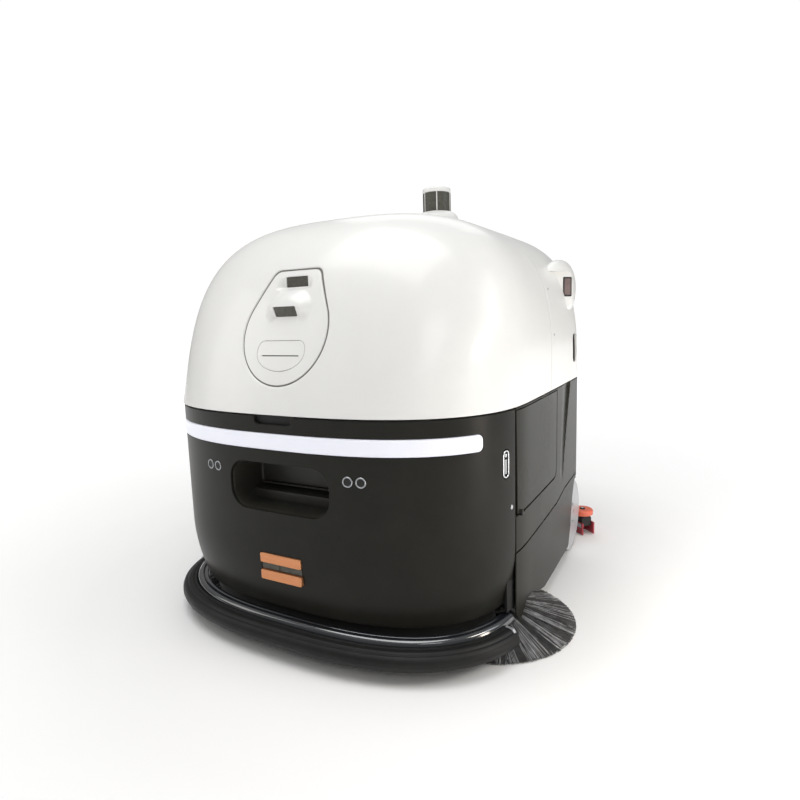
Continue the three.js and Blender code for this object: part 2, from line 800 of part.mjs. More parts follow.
function makeScrubDeck() {
  const half = rollerLength / 2;
  const front = frontRollerY - rollerRadius - 8;
  const rear = rearRollerY + rollerRadius + 8;
  const cover = block([-half - 12, front, 30], [half + 12, rear, 124]);
  const inside = block([-half - 4, front + 6, 10], [half + 4, rear - 6, 116]);
  const spindle = (y) => round('x', [0, y, rollerZ], 7, 2 * half + 20, 12);
  const spindles = [frontRollerY, rearRollerY].map(spindle);
  add('scrub_deck', join(cover.subtract(inside), spindles[0], spindles[1]), frameSteel);
  for (const [name, y] of [['front_scrub_brush', frontRollerY], ['rear_scrub_brush', rearRollerY]]) {
    const brush = round('x', [0, y, rollerZ], rollerRadius, rollerLength, 28)
      .subtract(round('x', [0, y, rollerZ], 7 + gap, rollerLength + 10, 12));
    add(name, brush, bristle);
  }
}

// A band of the squeegee: it lies between two distances ahead of the rear blade's rear face, and
// curves forwards through endAngle at each end.
function squeegeeBand(distance, thickness, low, high, endAngle) {
  const centreY = bladeRearY - bladeCurve;
  const steps = 8;
  const edge = (radius) => {
    const points = [];
    for (let i = 0; i <= steps; i++) {
      const angle = (endAngle * i) / steps;
      points.push([bladeFlatHalf + radius * Math.sin(angle), centreY + radius * Math.cos(angle)]);
    }
    const mirrored = points.map(([x, y]) => [-x, y]);
    return [...points.reverse(), ...mirrored];
  };
  const outer = edge(bladeCurve - distance);
  const inner = edge(bladeCurve - distance - thickness).reverse();
  return prism('z', [...outer, ...inner], low, high);
}

function makeSqueegee() {
  const endAngle = Math.PI / 4;
  add('squeegee_rear_blade', squeegeeBand(0, 4, 1, bladeTop, endAngle), bladeRed);
  add('squeegee_front_blade', squeegeeBand(34, 4, 1, bladeTop, endAngle), bladeRed);
  const frame = join(
    squeegeeBand(4 + gap, 30 - 2 * gap, frameLow, frameHigh, endAngle - 0.03),
    block([-60, 330, frameHigh - 4], [60, 446, frameHigh + 10]),
    block([-28, hoseY - 24, frameHigh - 4], [28, 350, hoseBottom - gap]),
    ...[-1, 1].map((side) => round('z', [side * 366, 382, frameHigh + 10], 7, 28, 12)),
  );
  add('squeegee_frame', frame, darkPlastic);
  for (const side of [1, -1]) {
    const roller = round('z', [side * 366, 382, frameHigh + 13], squeegeeRollerRadius, 16, 28)
      .subtract(round('z', [side * 366, 382, frameHigh + 13], 7 + gap, 60, 12));
    add(`${sideName(side)}_squeegee_roller`, roller, rollerRed);
  }
}

// ---------------------------------------------------------------- inside

function makeInside() {
  const casterBosses = [-1, 1].map((side) => round('z', [side * casterX, casterY, 134], 24, 40, 20)
    .subtract(round('z', [side * casterX, casterY, 130], 14 + gap, 60, 16)));
  const plate = prism('z', roundedRect(-290, -358, 290, 330, 60), deckPlate, deckPlate + plateThick);
  const hoseHole = round('z', [0, hoseY, deckPlate], hoseRadius + 4, 40);
  const arms = [-1, 1].map((side) => block(
    [side * 314 - 32, -30, deckPlate], [side * 314 + 32, 120, deckPlate + plateThick],
  ));
  add('chassis_frame', join(
    plate.subtract(hoseHole), arms[0], arms[1], casterBosses[0], casterBosses[1],
  ), frameSteel);

  const floor = deckPlate + plateThick + gap;
  add('battery_pack', block([-190, -335, floor], [190, -165, 262]), cellBlue);
  add('solution_tank', loft([
    atHeight(rectangle(-320, -150, 320, 58), floor), atHeight(rectangle(-320, -150, 320, 58), 400),
  ]), tankGrey);
  add('controller_box', block([40, 100, floor], [250, 280, 330]), finish(0x2a4a3a, 0.5));
  add('vacuum_motor', round('z', [-150, 190, (floor + 330) / 2], 74, 330 - floor), darkPlastic);
  const recoveryTank = loft([
    atHeight(rectangle(-300, -325, 300, -20), 404), atHeight(rectangle(-300, -290, 300, -20), 560),
    atHeight(rectangle(-260, -255, 260, -20), 640),
  ]);
  const downpipe = tube([
    [0, -24, 520], [0, 60, 530], [0, 170, 520], [0, 260, 480], [0, hoseY, 400], [0, hoseY, hoseTop],
  ], hoseRadius + 3);
  add('recovery_tank', join(recoveryTank, downpipe), tankGrey);
  add('recovery_tank_lid', prism('z', roundedRect(-110, -230, 110, -60, 40), 640 + gap, 662), darkPlastic);
  const hoseLength = hoseTop - hoseBottom - gap;
  const hose = round('z', [0, hoseY, hoseBottom + hoseLength / 2], hoseRadius, hoseLength, 16);
  add('suction_hose', hose, rubber);
}

function rectangle(x0, y0, x1, y1) {
  return [[x0, y0], [x1, y0], [x1, y1], [x0, y1]];
}

function tube(points, radius) {
  const path = new THREE.CatmullRomCurve3(points.map((point) => new THREE.Vector3(...point)));
  const section = new THREE.Shape();
  section.absarc(0, 0, radius, 0, 2 * Math.PI, false);
  return toSolid(new THREE.ExtrudeGeometry(section, {
    steps: 12, extrudePath: path, curveSegments: 5, bevelEnabled: false,
  }));
}

// ---------------------------------------------------------------- latches

// The paddle of a door latch, set in the front shell just ahead of the door.
function latchPaddle(grow) {
  return prism('x', roundedRect(-262 - grow, 324 - grow, -246 + grow, 372 + grow, 7), 340, 366);
}

function makeLatch(side) {
  add(`${sideName(side)}_door_latch`, sided(latchPaddle(0), side), finish(0xd5d8dc, 0.15, 1));
}

// ---------------------------------------------------------------- assembly

makeFront();
for (const side of [1, -1]) makeSide(side);
makeRear();
makeDome();
makeHingeFrame();
makeRearControls();
makeScanner();
makeBumper();
for (const side of [1, -1]) {
  makeDriveWheel(side);
  makeCaster(side);
  makeSideBrush(side);
  makeLatch(side);
}
makeScrubDeck();
makeSqueegee();
makeInside();

export default machine;
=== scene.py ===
"""Looks of the robotic floor cleaner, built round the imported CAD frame.

Working dimensions are in millimetres in the frame of the part: origin on the floor, the machine faces -Y,
its left side is +X. Meshes are scaled to metres when they are made.
"""

import math

import bmesh
import bpy
import numpy as np
from mathutils import Matrix, Vector
from mathutils.geometry import delaunay_2d_cdt


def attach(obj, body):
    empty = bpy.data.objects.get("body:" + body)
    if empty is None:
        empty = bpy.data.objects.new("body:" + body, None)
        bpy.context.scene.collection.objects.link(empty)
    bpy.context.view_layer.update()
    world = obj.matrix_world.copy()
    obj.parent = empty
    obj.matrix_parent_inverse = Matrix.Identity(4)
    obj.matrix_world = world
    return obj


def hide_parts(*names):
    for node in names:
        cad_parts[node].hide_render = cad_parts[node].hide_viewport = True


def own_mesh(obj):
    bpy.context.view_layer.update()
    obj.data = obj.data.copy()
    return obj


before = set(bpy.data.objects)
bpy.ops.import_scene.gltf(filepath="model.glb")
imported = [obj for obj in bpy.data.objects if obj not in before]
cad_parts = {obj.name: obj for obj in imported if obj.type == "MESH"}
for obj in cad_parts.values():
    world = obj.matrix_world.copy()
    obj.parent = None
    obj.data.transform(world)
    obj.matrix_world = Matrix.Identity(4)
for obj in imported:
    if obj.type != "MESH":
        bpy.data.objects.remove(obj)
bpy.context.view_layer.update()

rng = np.random.default_rng(11)
MM = 0.001
JOIN_DISTANCE = 2e-6
SMALLEST_RADIUS = 0.01

# ---------------------------------------------------------------- dimensions, as in the CAD source

# A plan is a rounded nose from front to start, then nearly straight sides bowed by BOW, then round corners.
BODY = dict(half=371.0, front=-429.0, start=-141.0, power=2.7, rear=344.0, corner=60.0)
BUMPER = dict(half=402.0, front=-460.0, start=-141.0, power=2.7)
TOE = dict(half=334.0, front=-392.0, start=-141.0, power=2.7)
BOW = 2.5e-5
SHELL_BOTTOM, DOME_SEAM, DOME_FLOOR, DOME_RISE = 78.0, 439.0, 441.5, 364.0
DOME_DEPTH, DOME_SHIFT, DOME_CURL, DOME_SIDE_CURL = 355.0, 67.0, 3.664, 3.225
DOME_STEPS, DOME_CENTRE_Y = (56, 40, 14, 10), -40.0
TUCK_TOP, TUCK_DEPTH = 200.0, 20.0
# Where panels end along Y, each side of a gap.
HOOD_REAR, REAR_FRONT = 12.5, 16.0
FRONT_EDGE, SIDE_EDGE, SIDE_REAR, REAR_EDGE = -223.25, -220.75, 304.0, 306.5
WALL = 6.0
STRIP_HALF, STRIP_LOW, STRIP_HIGH = 338.0, 380.0, 409.0
RECESS_HALF, RECESS_LOW, RECESS_HIGH, RECESS_CORNER, RECESS_BACK = 110.0, 267.0, 355.0, 36.0, -345.0
BRUSH_CENTRE, BRUSH_RADIUS = (291.0, -146.0, 0.0), 165.0
WHEEL_Y, WHEEL_R = 260.0, 92.0
SCANNER = (0.0, 270.0, 0.0)
# Buttons are (x, z) on the rear face; cameras are (lower, upper) edges of their windows.
STOP_BUTTON, POWER_BUTTON = (200.0, 640.0), (200.0, 700.0)
UPPER_CAMERA, LOWER_CAMERA = (661.5, 679.5), (609.0, 626.0)
POD = dict(x=338.0, y=213.0, z=657.0, wide=33.0, high=66.0, ahead=122.0, behind=88.0)
HOSE_Y, SQUEEGEE_TRAVEL = 296.0, 30.0
SQUEEGEE_REAR, SQUEEGEE_FLAT, SQUEEGEE_CURVE = 460.0, 226.0, 242.0
ROLLER = (366.0, 382.0, 0.0)
SIDES = (("left", 1.0), ("right", -1.0))

# ---------------------------------------------------------------- materials

MATERIALS = {}


def preset(node, **values):
    """Sets a node's inputs; an underscore in a name stands for a space."""
    for socket, value in values.items():
        node.inputs[socket.replace("_", " ")].default_value = value
    return node


def material(key, colour, rough, metal=0.0, vary=0.06, scale=60.0, grain=0.03, grain_scale=900.0,
             coat=0.0, coat_rough=0.1, rough_vary=0.08, glow=0.0, stretch=(1, 1, 1), sheen=0.0,
             specular=0.5, wear=0.0):
    """A finish whose colour and roughness drift slowly, with fine grain in the bump and worn edges."""
    made = bpy.data.materials.new(key)
    made.use_nodes = True
    nodes, links = made.node_tree.nodes, made.node_tree.links
    shader = nodes["Principled BSDF"]
    place = nodes.new("ShaderNodeTexCoord")
    mapping = preset(nodes.new("ShaderNodeMapping"), Scale=stretch)
    links.new(place.outputs["Object"], mapping.inputs["Vector"])

    def noise(size, detail, roughness=0.5):
        node = preset(nodes.new("ShaderNodeTexNoise"), Scale=size, Detail=detail, Roughness=roughness)
        links.new(mapping.outputs["Vector"], node.inputs["Vector"])
        return node.outputs["Fac"]

    ramp = nodes.new("ShaderNodeValToRGB")
    dark = [c * (1 - vary) for c in colour]
    light = [min(c * (1 + vary) + 0.1 * vary * max(colour), 1.0) for c in colour]
    ramp.color_ramp.elements[0].position, ramp.color_ramp.elements[1].position = 0.3, 0.7
    ramp.color_ramp.elements[0].color, ramp.color_ramp.elements[1].color = (*dark, 1), (*light, 1)
    links.new(noise(scale, 5.0, 0.6), ramp.inputs["Fac"])
    tone = ramp.outputs["Color"]
    if wear:
        geometry = nodes.new("ShaderNodeNewGeometry")
        edge = preset(nodes.new("ShaderNodeMapRange"), From_Min=0.53, From_Max=0.62, To_Max=wear)
        links.new(geometry.outputs["Pointiness"], edge.inputs["Value"])
        worn = (*[min(c * 2.2 + 0.06, 1.0) for c in colour], 1)
        mix = preset(nodes.new("ShaderNodeMixRGB"), Color2=worn)
        links.new(edge.outputs["Result"], mix.inputs["Fac"])
        links.new(tone, mix.inputs["Color1"])
        tone = mix.outputs["Color"]
    links.new(tone, shader.inputs["Base Color"])
    spread = preset(nodes.new("ShaderNodeMapRange"), To_Min=max(rough - rough_vary / 2, 0.02),
                    To_Max=min(rough + rough_vary, 1.0))
    links.new(noise(scale * 0.37, 3.0), spread.inputs["Value"])
    links.new(spread.outputs["Result"], shader.inputs["Roughness"])
    bump = preset(nodes.new("ShaderNodeBump"), Strength=grain, Distance=0.6 * MM)
    links.new(noise(grain_scale, 2.0), bump.inputs["Height"])
    links.new(bump.outputs["Normal"], shader.inputs["Normal"])
    preset(shader, Metallic=metal, Coat_Weight=coat, Coat_Roughness=coat_rough, Sheen_Weight=sheen,
           Specular_IOR_Level=specular)
    if glow:
        preset(shader, Emission_Color=(0.86, 0.88, 1.0, 1), Emission_Strength=glow)
    MATERIALS[key] = made
    return made


material("white_shell", (0.79, 0.788, 0.768), 0.34, coat=0.35, coat_rough=0.12, vary=0.015, scale=9,
         grain=0.02, grain_scale=420)
material("black_shell", (0.0135, 0.0130, 0.0105), 0.31, vary=0.15, scale=14, specular=0.15,
         grain=0.03, grain_scale=520, wear=0.12)
# A copy of the black shell for the side skins, doors and skirts. Its base is tinted olive as a painted
# reflection of a warm room, and it has less specular so the sides stay dark.
material("black_side_painted_reflection", (0.0165, 0.0158, 0.0118), 0.26, vary=0.1, scale=9, specular=0.08,
         grain=0.03, grain_scale=520, wear=0.12)
# A lighter copy of the black shell for the docking recess: painted light that lifts the shade inside the
# pocket.
material("recess_painted_light", (0.032, 0.031, 0.026), 0.33, vary=0.12, scale=20, specular=0.3, grain=0.1,
         wear=0.2)
# Grey-brown for the ring down in the teardrop groove: painted shade of the groove's dark core.
material("groove_painted_shade", (0.16, 0.152, 0.135), 0.6, vary=0.15, scale=40, grain=0.1)
material("dark_plastic", (0.010, 0.010, 0.0095), 0.45, specular=0.35, vary=0.2, scale=40, grain=0.25,
         grain_scale=1300, wear=0.3)
material("gloss_black", (0.016, 0.019, 0.023), 0.12, coat=1.0, coat_rough=0.09, vary=0.25, scale=12,
         specular=1.0, rough_vary=0.05, grain=0.015, grain_scale=260)
material("rubber", (0.012, 0.012, 0.0118), 0.42, specular=0.22, vary=0.18, scale=30, grain=0.16,
         grain_scale=1500, wear=0.1)
material("tyre", (0.02, 0.02, 0.02), 0.72, vary=0.2, scale=50, grain=0.4, grain_scale=700, wear=0.3)
material("frame_steel", (0.32, 0.33, 0.345), 0.38, metal=0.9, vary=0.12, scale=30, grain=0.1, grain_scale=900,
         wear=0.3)
material("silver_plastic", (0.50, 0.51, 0.53), 0.3, metal=0.45, coat=0.3, vary=0.04, scale=50, grain=0.06)
material("copper", (0.66, 0.275, 0.125), 0.40, metal=0.7, vary=0.05, scale=24, grain=0.14, grain_scale=500,
         stretch=(1, 6, 14), wear=0.4)
material("light_diffuser", (0.80, 0.81, 0.88), 0.3, vary=0.01, scale=20, glow=0.16, grain=0.02)
material("bristle", (0.052, 0.052, 0.052), 0.5, vary=0.6, scale=70, grain=0.05, sheen=0.1)
# Pale grey for a share of the brush filaments: painted highlights, the glints along dark bristles.
material("bristle_painted_highlight", (0.52, 0.53, 0.54), 0.42, vary=0.5, scale=70, grain=0.05)
material("roller_red", (0.80, 0.16, 0.085), 0.36, vary=0.08, scale=40, grain=0.1, coat=0.2, wear=0.2)
material("blade_red", (0.31, 0.022, 0.035), 0.42, vary=0.15, scale=30, grain=0.12, wear=0.25)
material("tank_plastic", (0.55, 0.57, 0.585), 0.45, vary=0.05, scale=20, grain=0.12, grain_scale=700)
material("battery_case", (0.05, 0.11, 0.19), 0.45, vary=0.12, scale=30, grain=0.2, wear=0.3)
material("control_case", (0.03, 0.075, 0.05), 0.42, vary=0.15, scale=30, grain=0.2, wear=0.3)
material("dark_glass", (0.010, 0.012, 0.015), 0.08, coat=0.5, coat_rough=0.03, vary=0.3, scale=12,
         rough_vary=0.03, grain=0.01, grain_scale=200)
material("lens_grey", (0.082, 0.08, 0.066), 0.35, specular=0.3, vary=0.22, scale=160, grain=0.25)
material("button_red", (0.62, 0.022, 0.022), 0.33, coat=0.3, vary=0.08, scale=40, grain=0.08, wear=0.2)
material("chrome", (0.78, 0.79, 0.80), 0.12, metal=1.0, vary=0.04, scale=40, rough_vary=0.06, grain=0.03)
# Near black for the sheets behind gaps and openings: painted shade.
material("gap_painted_shade", (0.006, 0.006, 0.006), 0.7, vary=0.3, scale=60, grain=0.2)
material("window_pink", (0.20, 0.145, 0.14), 0.18, coat=0.5, vary=0.15, scale=50, grain=0.02)

# ---------------------------------------------------------------- mesh helpers


def mesh_object(name, shape):
    """An object from (vertices in mm, faces) or (vertices, faces, vertex normals)."""
    mesh = bpy.data.meshes.new(name)
    mesh.from_pydata((np.asarray(shape[0], float) * MM).tolist(), [], [tuple(map(int, f)) for f in shape[1]])
    work = bmesh.new()
    work.from_mesh(mesh)
    if len(shape) == 2:
        bmesh.ops.remove_doubles(work, verts=work.verts, dist=JOIN_DISTANCE)
    bmesh.ops.recalc_face_normals(work, faces=work.faces)
    for face in work.faces:
        face.smooth = True
    work.to_mesh(mesh)
    work.free()
    obj = bpy.data.objects.new(name, mesh)
    bpy.context.scene.collection.objects.link(obj)
    return obj


def make(name, shape, slot, body, replaces=(), sharp=35, finish=None, soft=True):
    """One piece: its finish, its smooth shading, the body it rides on and the CAD nodes it stands in for."""
    obj = mesh_object(name, shape)
    mesh = obj.data
    mesh.materials.append(MATERIALS[finish or slot])
    if len(shape) == 3:
        mesh.normals_split_custom_set_from_vertices(np.asarray(shape[2], float).tolist())
    else:
        mesh.set_sharp_from_angle(angle=math.radians(sharp))
        if soft:
            obj.modifiers.new("weighted", "WEIGHTED_NORMAL").keep_sharp = True
    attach(obj, body)
    if replaces:
        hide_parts(*replaces)
    return obj


def shade_sheet(name, shape):
    """A near-black sheet seen only through the gaps between panels: painted shade."""
    return make(name, shape, "dark_plastic", "chassis", finish="gap_painted_shade")


def unit(rows):
    """Each row at length 1."""
    return rows / np.linalg.norm(rows, axis=1, keepdims=True)


def arc_length(points):
    """How far along a line each of its points lies."""
    return np.concatenate([[0], np.cumsum(np.linalg.norm(np.diff(points, axis=0), axis=1))])


def band(first, second, count):
    """Faces between two closed rings of points that start at two indices."""
    return [(first + i, first + (i + 1) % count, second + (i + 1) % count, second + i) for i in range(count)]


def together(*shapes):
    """Several (vertices, faces) shapes as one."""
    vertices, faces, base = [], [], 0
    for points, polygons in shapes:
        vertices.append(np.asarray(points, float))
        faces += [tuple(int(i) + base for i in f) for f in polygons]
        base += len(points)
    return np.concatenate(vertices), faces


def mirrored(shape, side):
    """The shape itself for side 1, or its mirror image across the middle for side -1."""
    points = np.array(shape[0], float)
    points[:, 0] *= side
    if len(shape) == 2:
        return points, shape[1]
    normals = np.array(shape[2], float)
    normals[:, 0] *= side
    return points, shape[1], normals


def loft(rings, closed=True, caps=(True, True)):
    """Skins rings that have the same number of points."""
    count = len(rings[0])
    faces = []
    for level in range(len(rings) - 1):
        base = level * count
        for i in range(count if closed else count - 1):
            j = (i + 1) % count
            faces.append((base + i, base + j, base + count + j, base + count + i))
    if caps[0]:
        faces.append(tuple(range(count - 1, -1, -1)))
    if caps[1]:
        faces.append(tuple(range((len(rings) - 1) * count, len(rings) * count)))
    return np.concatenate([np.asarray(r, float) for r in rings]), faces


def soften(points, radius, steps=3, closed=True):
    """Rounds each corner of a polyline."""
    points = [np.array(p, float) for p in points]
    out = []
    for i, corner in enumerate(points):
        if not closed and i in (0, len(points) - 1):
            out.append(corner)
            continue
        before, after = points[i - 1], points[(i + 1) % len(points)]
        to_before, to_after = before - corner, after - corner
        a, b = np.linalg.norm(to_before), np.linalg.norm(to_after)
        start = corner + to_before / a * min(radius, a * 0.48)
        end = corner + to_after / b * min(radius, b * 0.48)
        for t in np.linspace(0, 1, steps + 1):
            out.append((1 - t) ** 2 * start + 2 * t * (1 - t) * corner + t * t * end)
    return np.array(out)


def rounded_rect(u0, v0, u1, v1, radius, steps=8):
    """Anticlockwise."""
    out = []
    for cu, cv, turn in ((u1 - radius, v0 + radius, -90), (u1 - radius, v1 - radius, 0),
                         (u0 + radius, v1 - radius, 90), (u0 + radius, v0 + radius, 180)):
        for i in range(steps + 1):
            a = math.radians(turn + 90 * i / steps)
            out.append((cu + radius * math.cos(a), cv + radius * math.sin(a)))
    return np.array(out)


def outward(points):
    """Unit directions out of an anticlockwise loop, one per point, and how far each corner stretches them."""
    ahead = np.roll(points, -1, 0) - points
    ahead /= np.maximum(np.linalg.norm(ahead, axis=1, keepdims=True), 1e-9)
    normal = np.stack([ahead[:, 1], -ahead[:, 0]], 1)
    both = normal + np.roll(normal, 1, 0)
    return unit(both), 2 / np.maximum(np.linalg.norm(both, axis=1, keepdims=True), 0.6)


def grown(points, distance):
    """The loop moved outwards by a distance."""
    direction, stretch = outward(points)
    return points + direction * stretch * distance


def onto(axis, flat, depth):
    """[u, v] points at a depth along an axis: z takes (x, y), y takes (x, z), x takes (y, z)."""
    u, v, d = flat[:, 0], flat[:, 1], np.full(len(flat), float(depth))
    order = {"z": (u, v, d), "y": (u, d, v), "x": (d, u, v)}[axis]
    return np.stack(order, 1)


def slab(axis, outline, low, high, edge=0.8, steps=2):
    """A prism with rounded edges."""
    outline = np.asarray(outline, float)
    turns = np.linspace(0, math.pi / 2, steps + 1)
    levels = [(-edge * (1 - math.sin(t)), low + edge * (1 - math.cos(t))) for t in turns]
    levels += [(-edge * (1 - math.sin(t)), high - edge * (1 - math.cos(t))) for t in turns[::-1]]
    return loft([onto(axis, grown(outline, g), d) for g, d in levels])


def box(low, high, corner=2.0, edge=0.8, axis="z"):
    """A box with its corners rounded as seen along the axis, and its other edges by edge."""
    lo, hi = np.array(low, float), np.array(high, float)
    k = {"z": (0, 1, 2), "y": (0, 2, 1), "x": (1, 2, 0)}[axis]
    flat = rounded_rect(lo[k[0]], lo[k[1]], hi[k[0]], hi[k[1]], corner, 4)
    return slab(axis, flat, lo[k[2]], hi[k[2]], edge)


def turned(profile, centre, axis="z", steps=48, ring=False):
    """A turned shape from [radius, height] points. With ring the profile closes on itself."""
    a = np.linspace(0, 2 * math.pi, steps, endpoint=False)
    across, up, along = {"z": (0, 1, 2), "y": (0, 2, 1), "x": (1, 2, 0)}[axis]
    rings = []
    for r, h in profile:
        points = np.zeros((steps, 3))
        points[:, across] = centre[across] + max(r, SMALLEST_RADIUS) * np.cos(a)
        points[:, up] = centre[up] + max(r, SMALLEST_RADIUS) * np.sin(a)
        points[:, along] = centre[along] + h
        rings.append(points)
    if ring:
        rings.append(rings[0])
    return loft(rings, caps=(not ring, not ring))


def swept(path, profile):
    """A closed [offset, z] profile carried along a plan path of [x, y, nx, ny] rows."""
    return loft([[(x + nx * o, y + ny * o, z) for o, z in profile] for x, y, nx, ny in path])


def densify(points, longest):
    """The loop with no step longer than longest."""
    out = []
    for a, b in zip(points, np.roll(points, -1, 0)):
        n = max(int(math.ceil(np.linalg.norm(b - a) / longest)), 1)
        out += [a + (b - a) * i / n for i in range(n)]
    return np.array(out)


def inside(points, loop):
    """Which of the points lie inside a loop."""
    x, y = points[:, 0], points[:, 1]
    result = np.zeros(len(points), bool)
    for (x0, y0), (x1, y1) in zip(loop, np.roll(loop, -1, 0)):
        crosses = (y0 > y) != (y1 > y)
        if crosses.any():
            at = x0 + (y - y0) * (x1 - x0) / (y1 - y0 if y1 != y0 else 1e-12)
            result ^= crosses & (x < at)
    return result


def panel(outline, wrap, thickness=WALL, holes=(), edge=1.2, spacing=12.0, lift=0.0):
    """A sheet cut to a flat outline with holes, its edges rounded, bent onto a surface by wrap(u, v, depth).

    holes is a list of (loop, edge radius). The vertex normals are the surface's own, which keeps
    reflections even.
    """
    loops = [(densify(np.asarray(outline, float), spacing * 0.7), edge)]
    loops += [(densify(np.asarray(h, float)[::-1], spacing * 0.5), e) for h, e in holes]
    skins = [grown(loop, -radius) for loop, radius in loops]
    border = np.concatenate(skins)
    low, high = border.min(0), border.max(0)
    us = np.arange(low[0] + spacing / 2, high[0], spacing)
    vs = np.arange(low[1] + spacing / 2, high[1], spacing)
    grid = np.array(np.meshgrid(us, vs)).reshape(2, -1).T
    keep = inside(grid, skins[0])
    for loop in skins[1:]:
        keep &= ~inside(grid, loop)
    grid = grid[keep]
    close = np.array([np.min(np.sum((border - g) ** 2, 1)) < (spacing * 0.45) ** 2 for g in grid])
    grid = grid[~close] if len(grid) else grid
    flat = np.concatenate([border, grid]) if len(grid) else border
    edges, base = [], 0
    for loop in skins:
        n = len(loop)
        edges += [(base + i, base + (i + 1) % n) for i in range(n)]
        base += n
    cut = delaunay_2d_cdt([Vector(p) for p in flat], edges, [], 0, 1e-5)
    source = [o[0] if o else -1 for o in cut[3]]
    triangles = np.array([[source[i] for i in f] for f in cut[2] if len(f) == 3])
    triangles = triangles[(triangles >= 0).all(1)]
    middle = flat[triangles].mean(1)
    keep = inside(middle, skins[0])
    for loop in skins[1:]:
        keep &= ~inside(middle, loop)
    triangles = triangles[keep]

    def frame_at(uv):
        d = 0.25
        u, v = uv[:, 0], uv[:, 1]

        def place(u, v, depth=0.0):
            return np.stack(wrap(u, v, 0 * u + depth), 1)

        along = unit(place(u + d, v) - place(u - d, v))
        rise = unit(place(u, v + d) - place(u, v - d))
        normal = np.cross(along, rise)
        normal *= -np.sign(np.sum(normal * (place(u, v, 1.0) - place(u, v)), 1))[:, None]
        return along, rise, unit(normal)

    points, normals, faces = [], [], []

    def put(uv, depth, normal):
        u, v = uv[:, 0], uv[:, 1]
        points.append(np.stack(wrap(u, v, 0 * u + depth - lift), 1))
        normals.append(normal)
        return sum(len(p) for p in points[:-1])

    normal = frame_at(flat)[2]
    front = put(flat, 0.0, normal)
    faces += [tuple(front + t) for t in triangles]
    back_flat = flat.copy()
    base = 0
    for loop, radius in loops:
        back_flat[base:base + len(loop)] = grown(loop, -0.4 * radius)
        base += len(loop)
    back = put(back_flat, thickness, -normal)
    faces += [tuple(back + t[::-1]) for t in triangles]
    base = 0
    for loop, radius in loops:
        n = len(loop)
        direction = outward(loop)[0]
        along, rise, up = frame_at(loop)
        out = along * direction[:, :1] + rise * direction[:, 1:]
        previous = front + base
        for turn in (30, 60, 90):
            t = math.radians(turn)
            ring = put(grown(loop, -radius * (1 - math.sin(t))), radius * (1 - math.cos(t)),
                       up * math.cos(t) + out * math.sin(t))
            faces += band(previous, ring, n)
            previous = ring
        ring = put(loop, thickness - 0.4 * radius, out)
        faces += band(previous, ring, n) + band(ring, back + base, n)
        base += n
    return np.concatenate(points), faces, np.concatenate(normals)


def applied(obj):
    """Bakes the modifiers into the mesh."""
    graph = bpy.context.evaluated_depsgraph_get()
    mesh = bpy.data.meshes.new_from_object(obj.evaluated_get(graph))
    obj.modifiers.clear()
    obj.data = mesh
    return obj


def cut(obj, *shapes, keep_normals=True):
    """Takes shapes out of obj. The uncut surface lends its normals to what is left of it."""
    source = obj.copy()
    source.data = obj.data.copy()
    source.parent = None
    bpy.context.scene.collection.objects.link(source)
    obj.modifiers.clear()
    cutters = []
    for i, shape in enumerate(shapes):
        cutter = mesh_object(f"cutter_{i}", shape)
        cutters.append(cutter)
        modifier = obj.modifiers.new("cut", "BOOLEAN")
        modifier.operation, modifier.solver, modifier.object = "DIFFERENCE", "EXACT", cutter
    applied(obj)
    for face in obj.data.polygons:
        face.use_smooth = True
    obj.data.set_sharp_from_angle(angle=math.radians(40))
    if keep_normals:
        lend = obj.modifiers.new("normals", "DATA_TRANSFER")
        lend.object, lend.use_loop_data, lend.data_types_loops = source, True, {"CUSTOM_NORMAL"}
        lend.loop_mapping, lend.use_max_distance, lend.max_distance = "POLYINTERP_NEAREST", True, 0.00005
        applied(obj)
    for extra in [source, *cutters]:
        bpy.data.objects.remove(extra)
    return obj


# ---------------------------------------------------------------- body surfaces


def plan_half(half, front, start, power, rear=None, corner=None, steps=(60, 14, 8, 8)):
    """Plan points from the middle of the front round the left side to the middle of the rear."""
    angle = np.linspace(math.pi / 2, 0, steps[0])
    c, s = np.abs(np.cos(angle)), np.abs(np.sin(angle))
    reach = (c ** power + s ** power) ** (-1 / power)
    nose = np.stack([half * reach * c, start - (start - front) * reach * s], 1)
    if rear is None:
        return nose
    y = np.linspace(start, rear - corner, steps[1])[1:]
    side = np.stack([half - BOW * (y - start) ** 2, y], 1)
    a = np.linspace(0, math.pi / 2, steps[2])[1:]
    cx = side[-1, 0] - corner
    turn = np.stack([cx + corner * np.cos(a), rear - corner + corner * np.sin(a)], 1)
    x = np.linspace(cx, 0, steps[3])[1:]
    back = np.stack([x, np.full(len(x), rear)], 1)
    return np.concatenate([nose, side, turn, back])


FINE = (700, 200, 90, 60)
PLAN = plan_half(**BODY, steps=FINE)
TUCKED = plan_half(**{**BODY, "half": BODY["half"] - TUCK_DEPTH, "front": BODY["front"] + TUCK_DEPTH},
                   steps=FINE)
ARC = arc_length(PLAN)
TANGENT = unit(np.gradient(PLAN, ARC, axis=0))
TANGENT[0], TANGENT[-1] = (1, 0), (-1, 0)
NOSE_END = FINE[0]


def u_at_x(x):
    """How far round the body a place on its nose lies, from the middle of the front."""
    return np.interp(x, PLAN[:NOSE_END, 0], ARC[:NOSE_END])


def u_at_y(y):
    """The same for a place on its left side."""
    rear = NOSE_END + FINE[1] + FINE[2] - 2
    return np.interp(y, PLAN[:rear, 1], ARC[:rear])


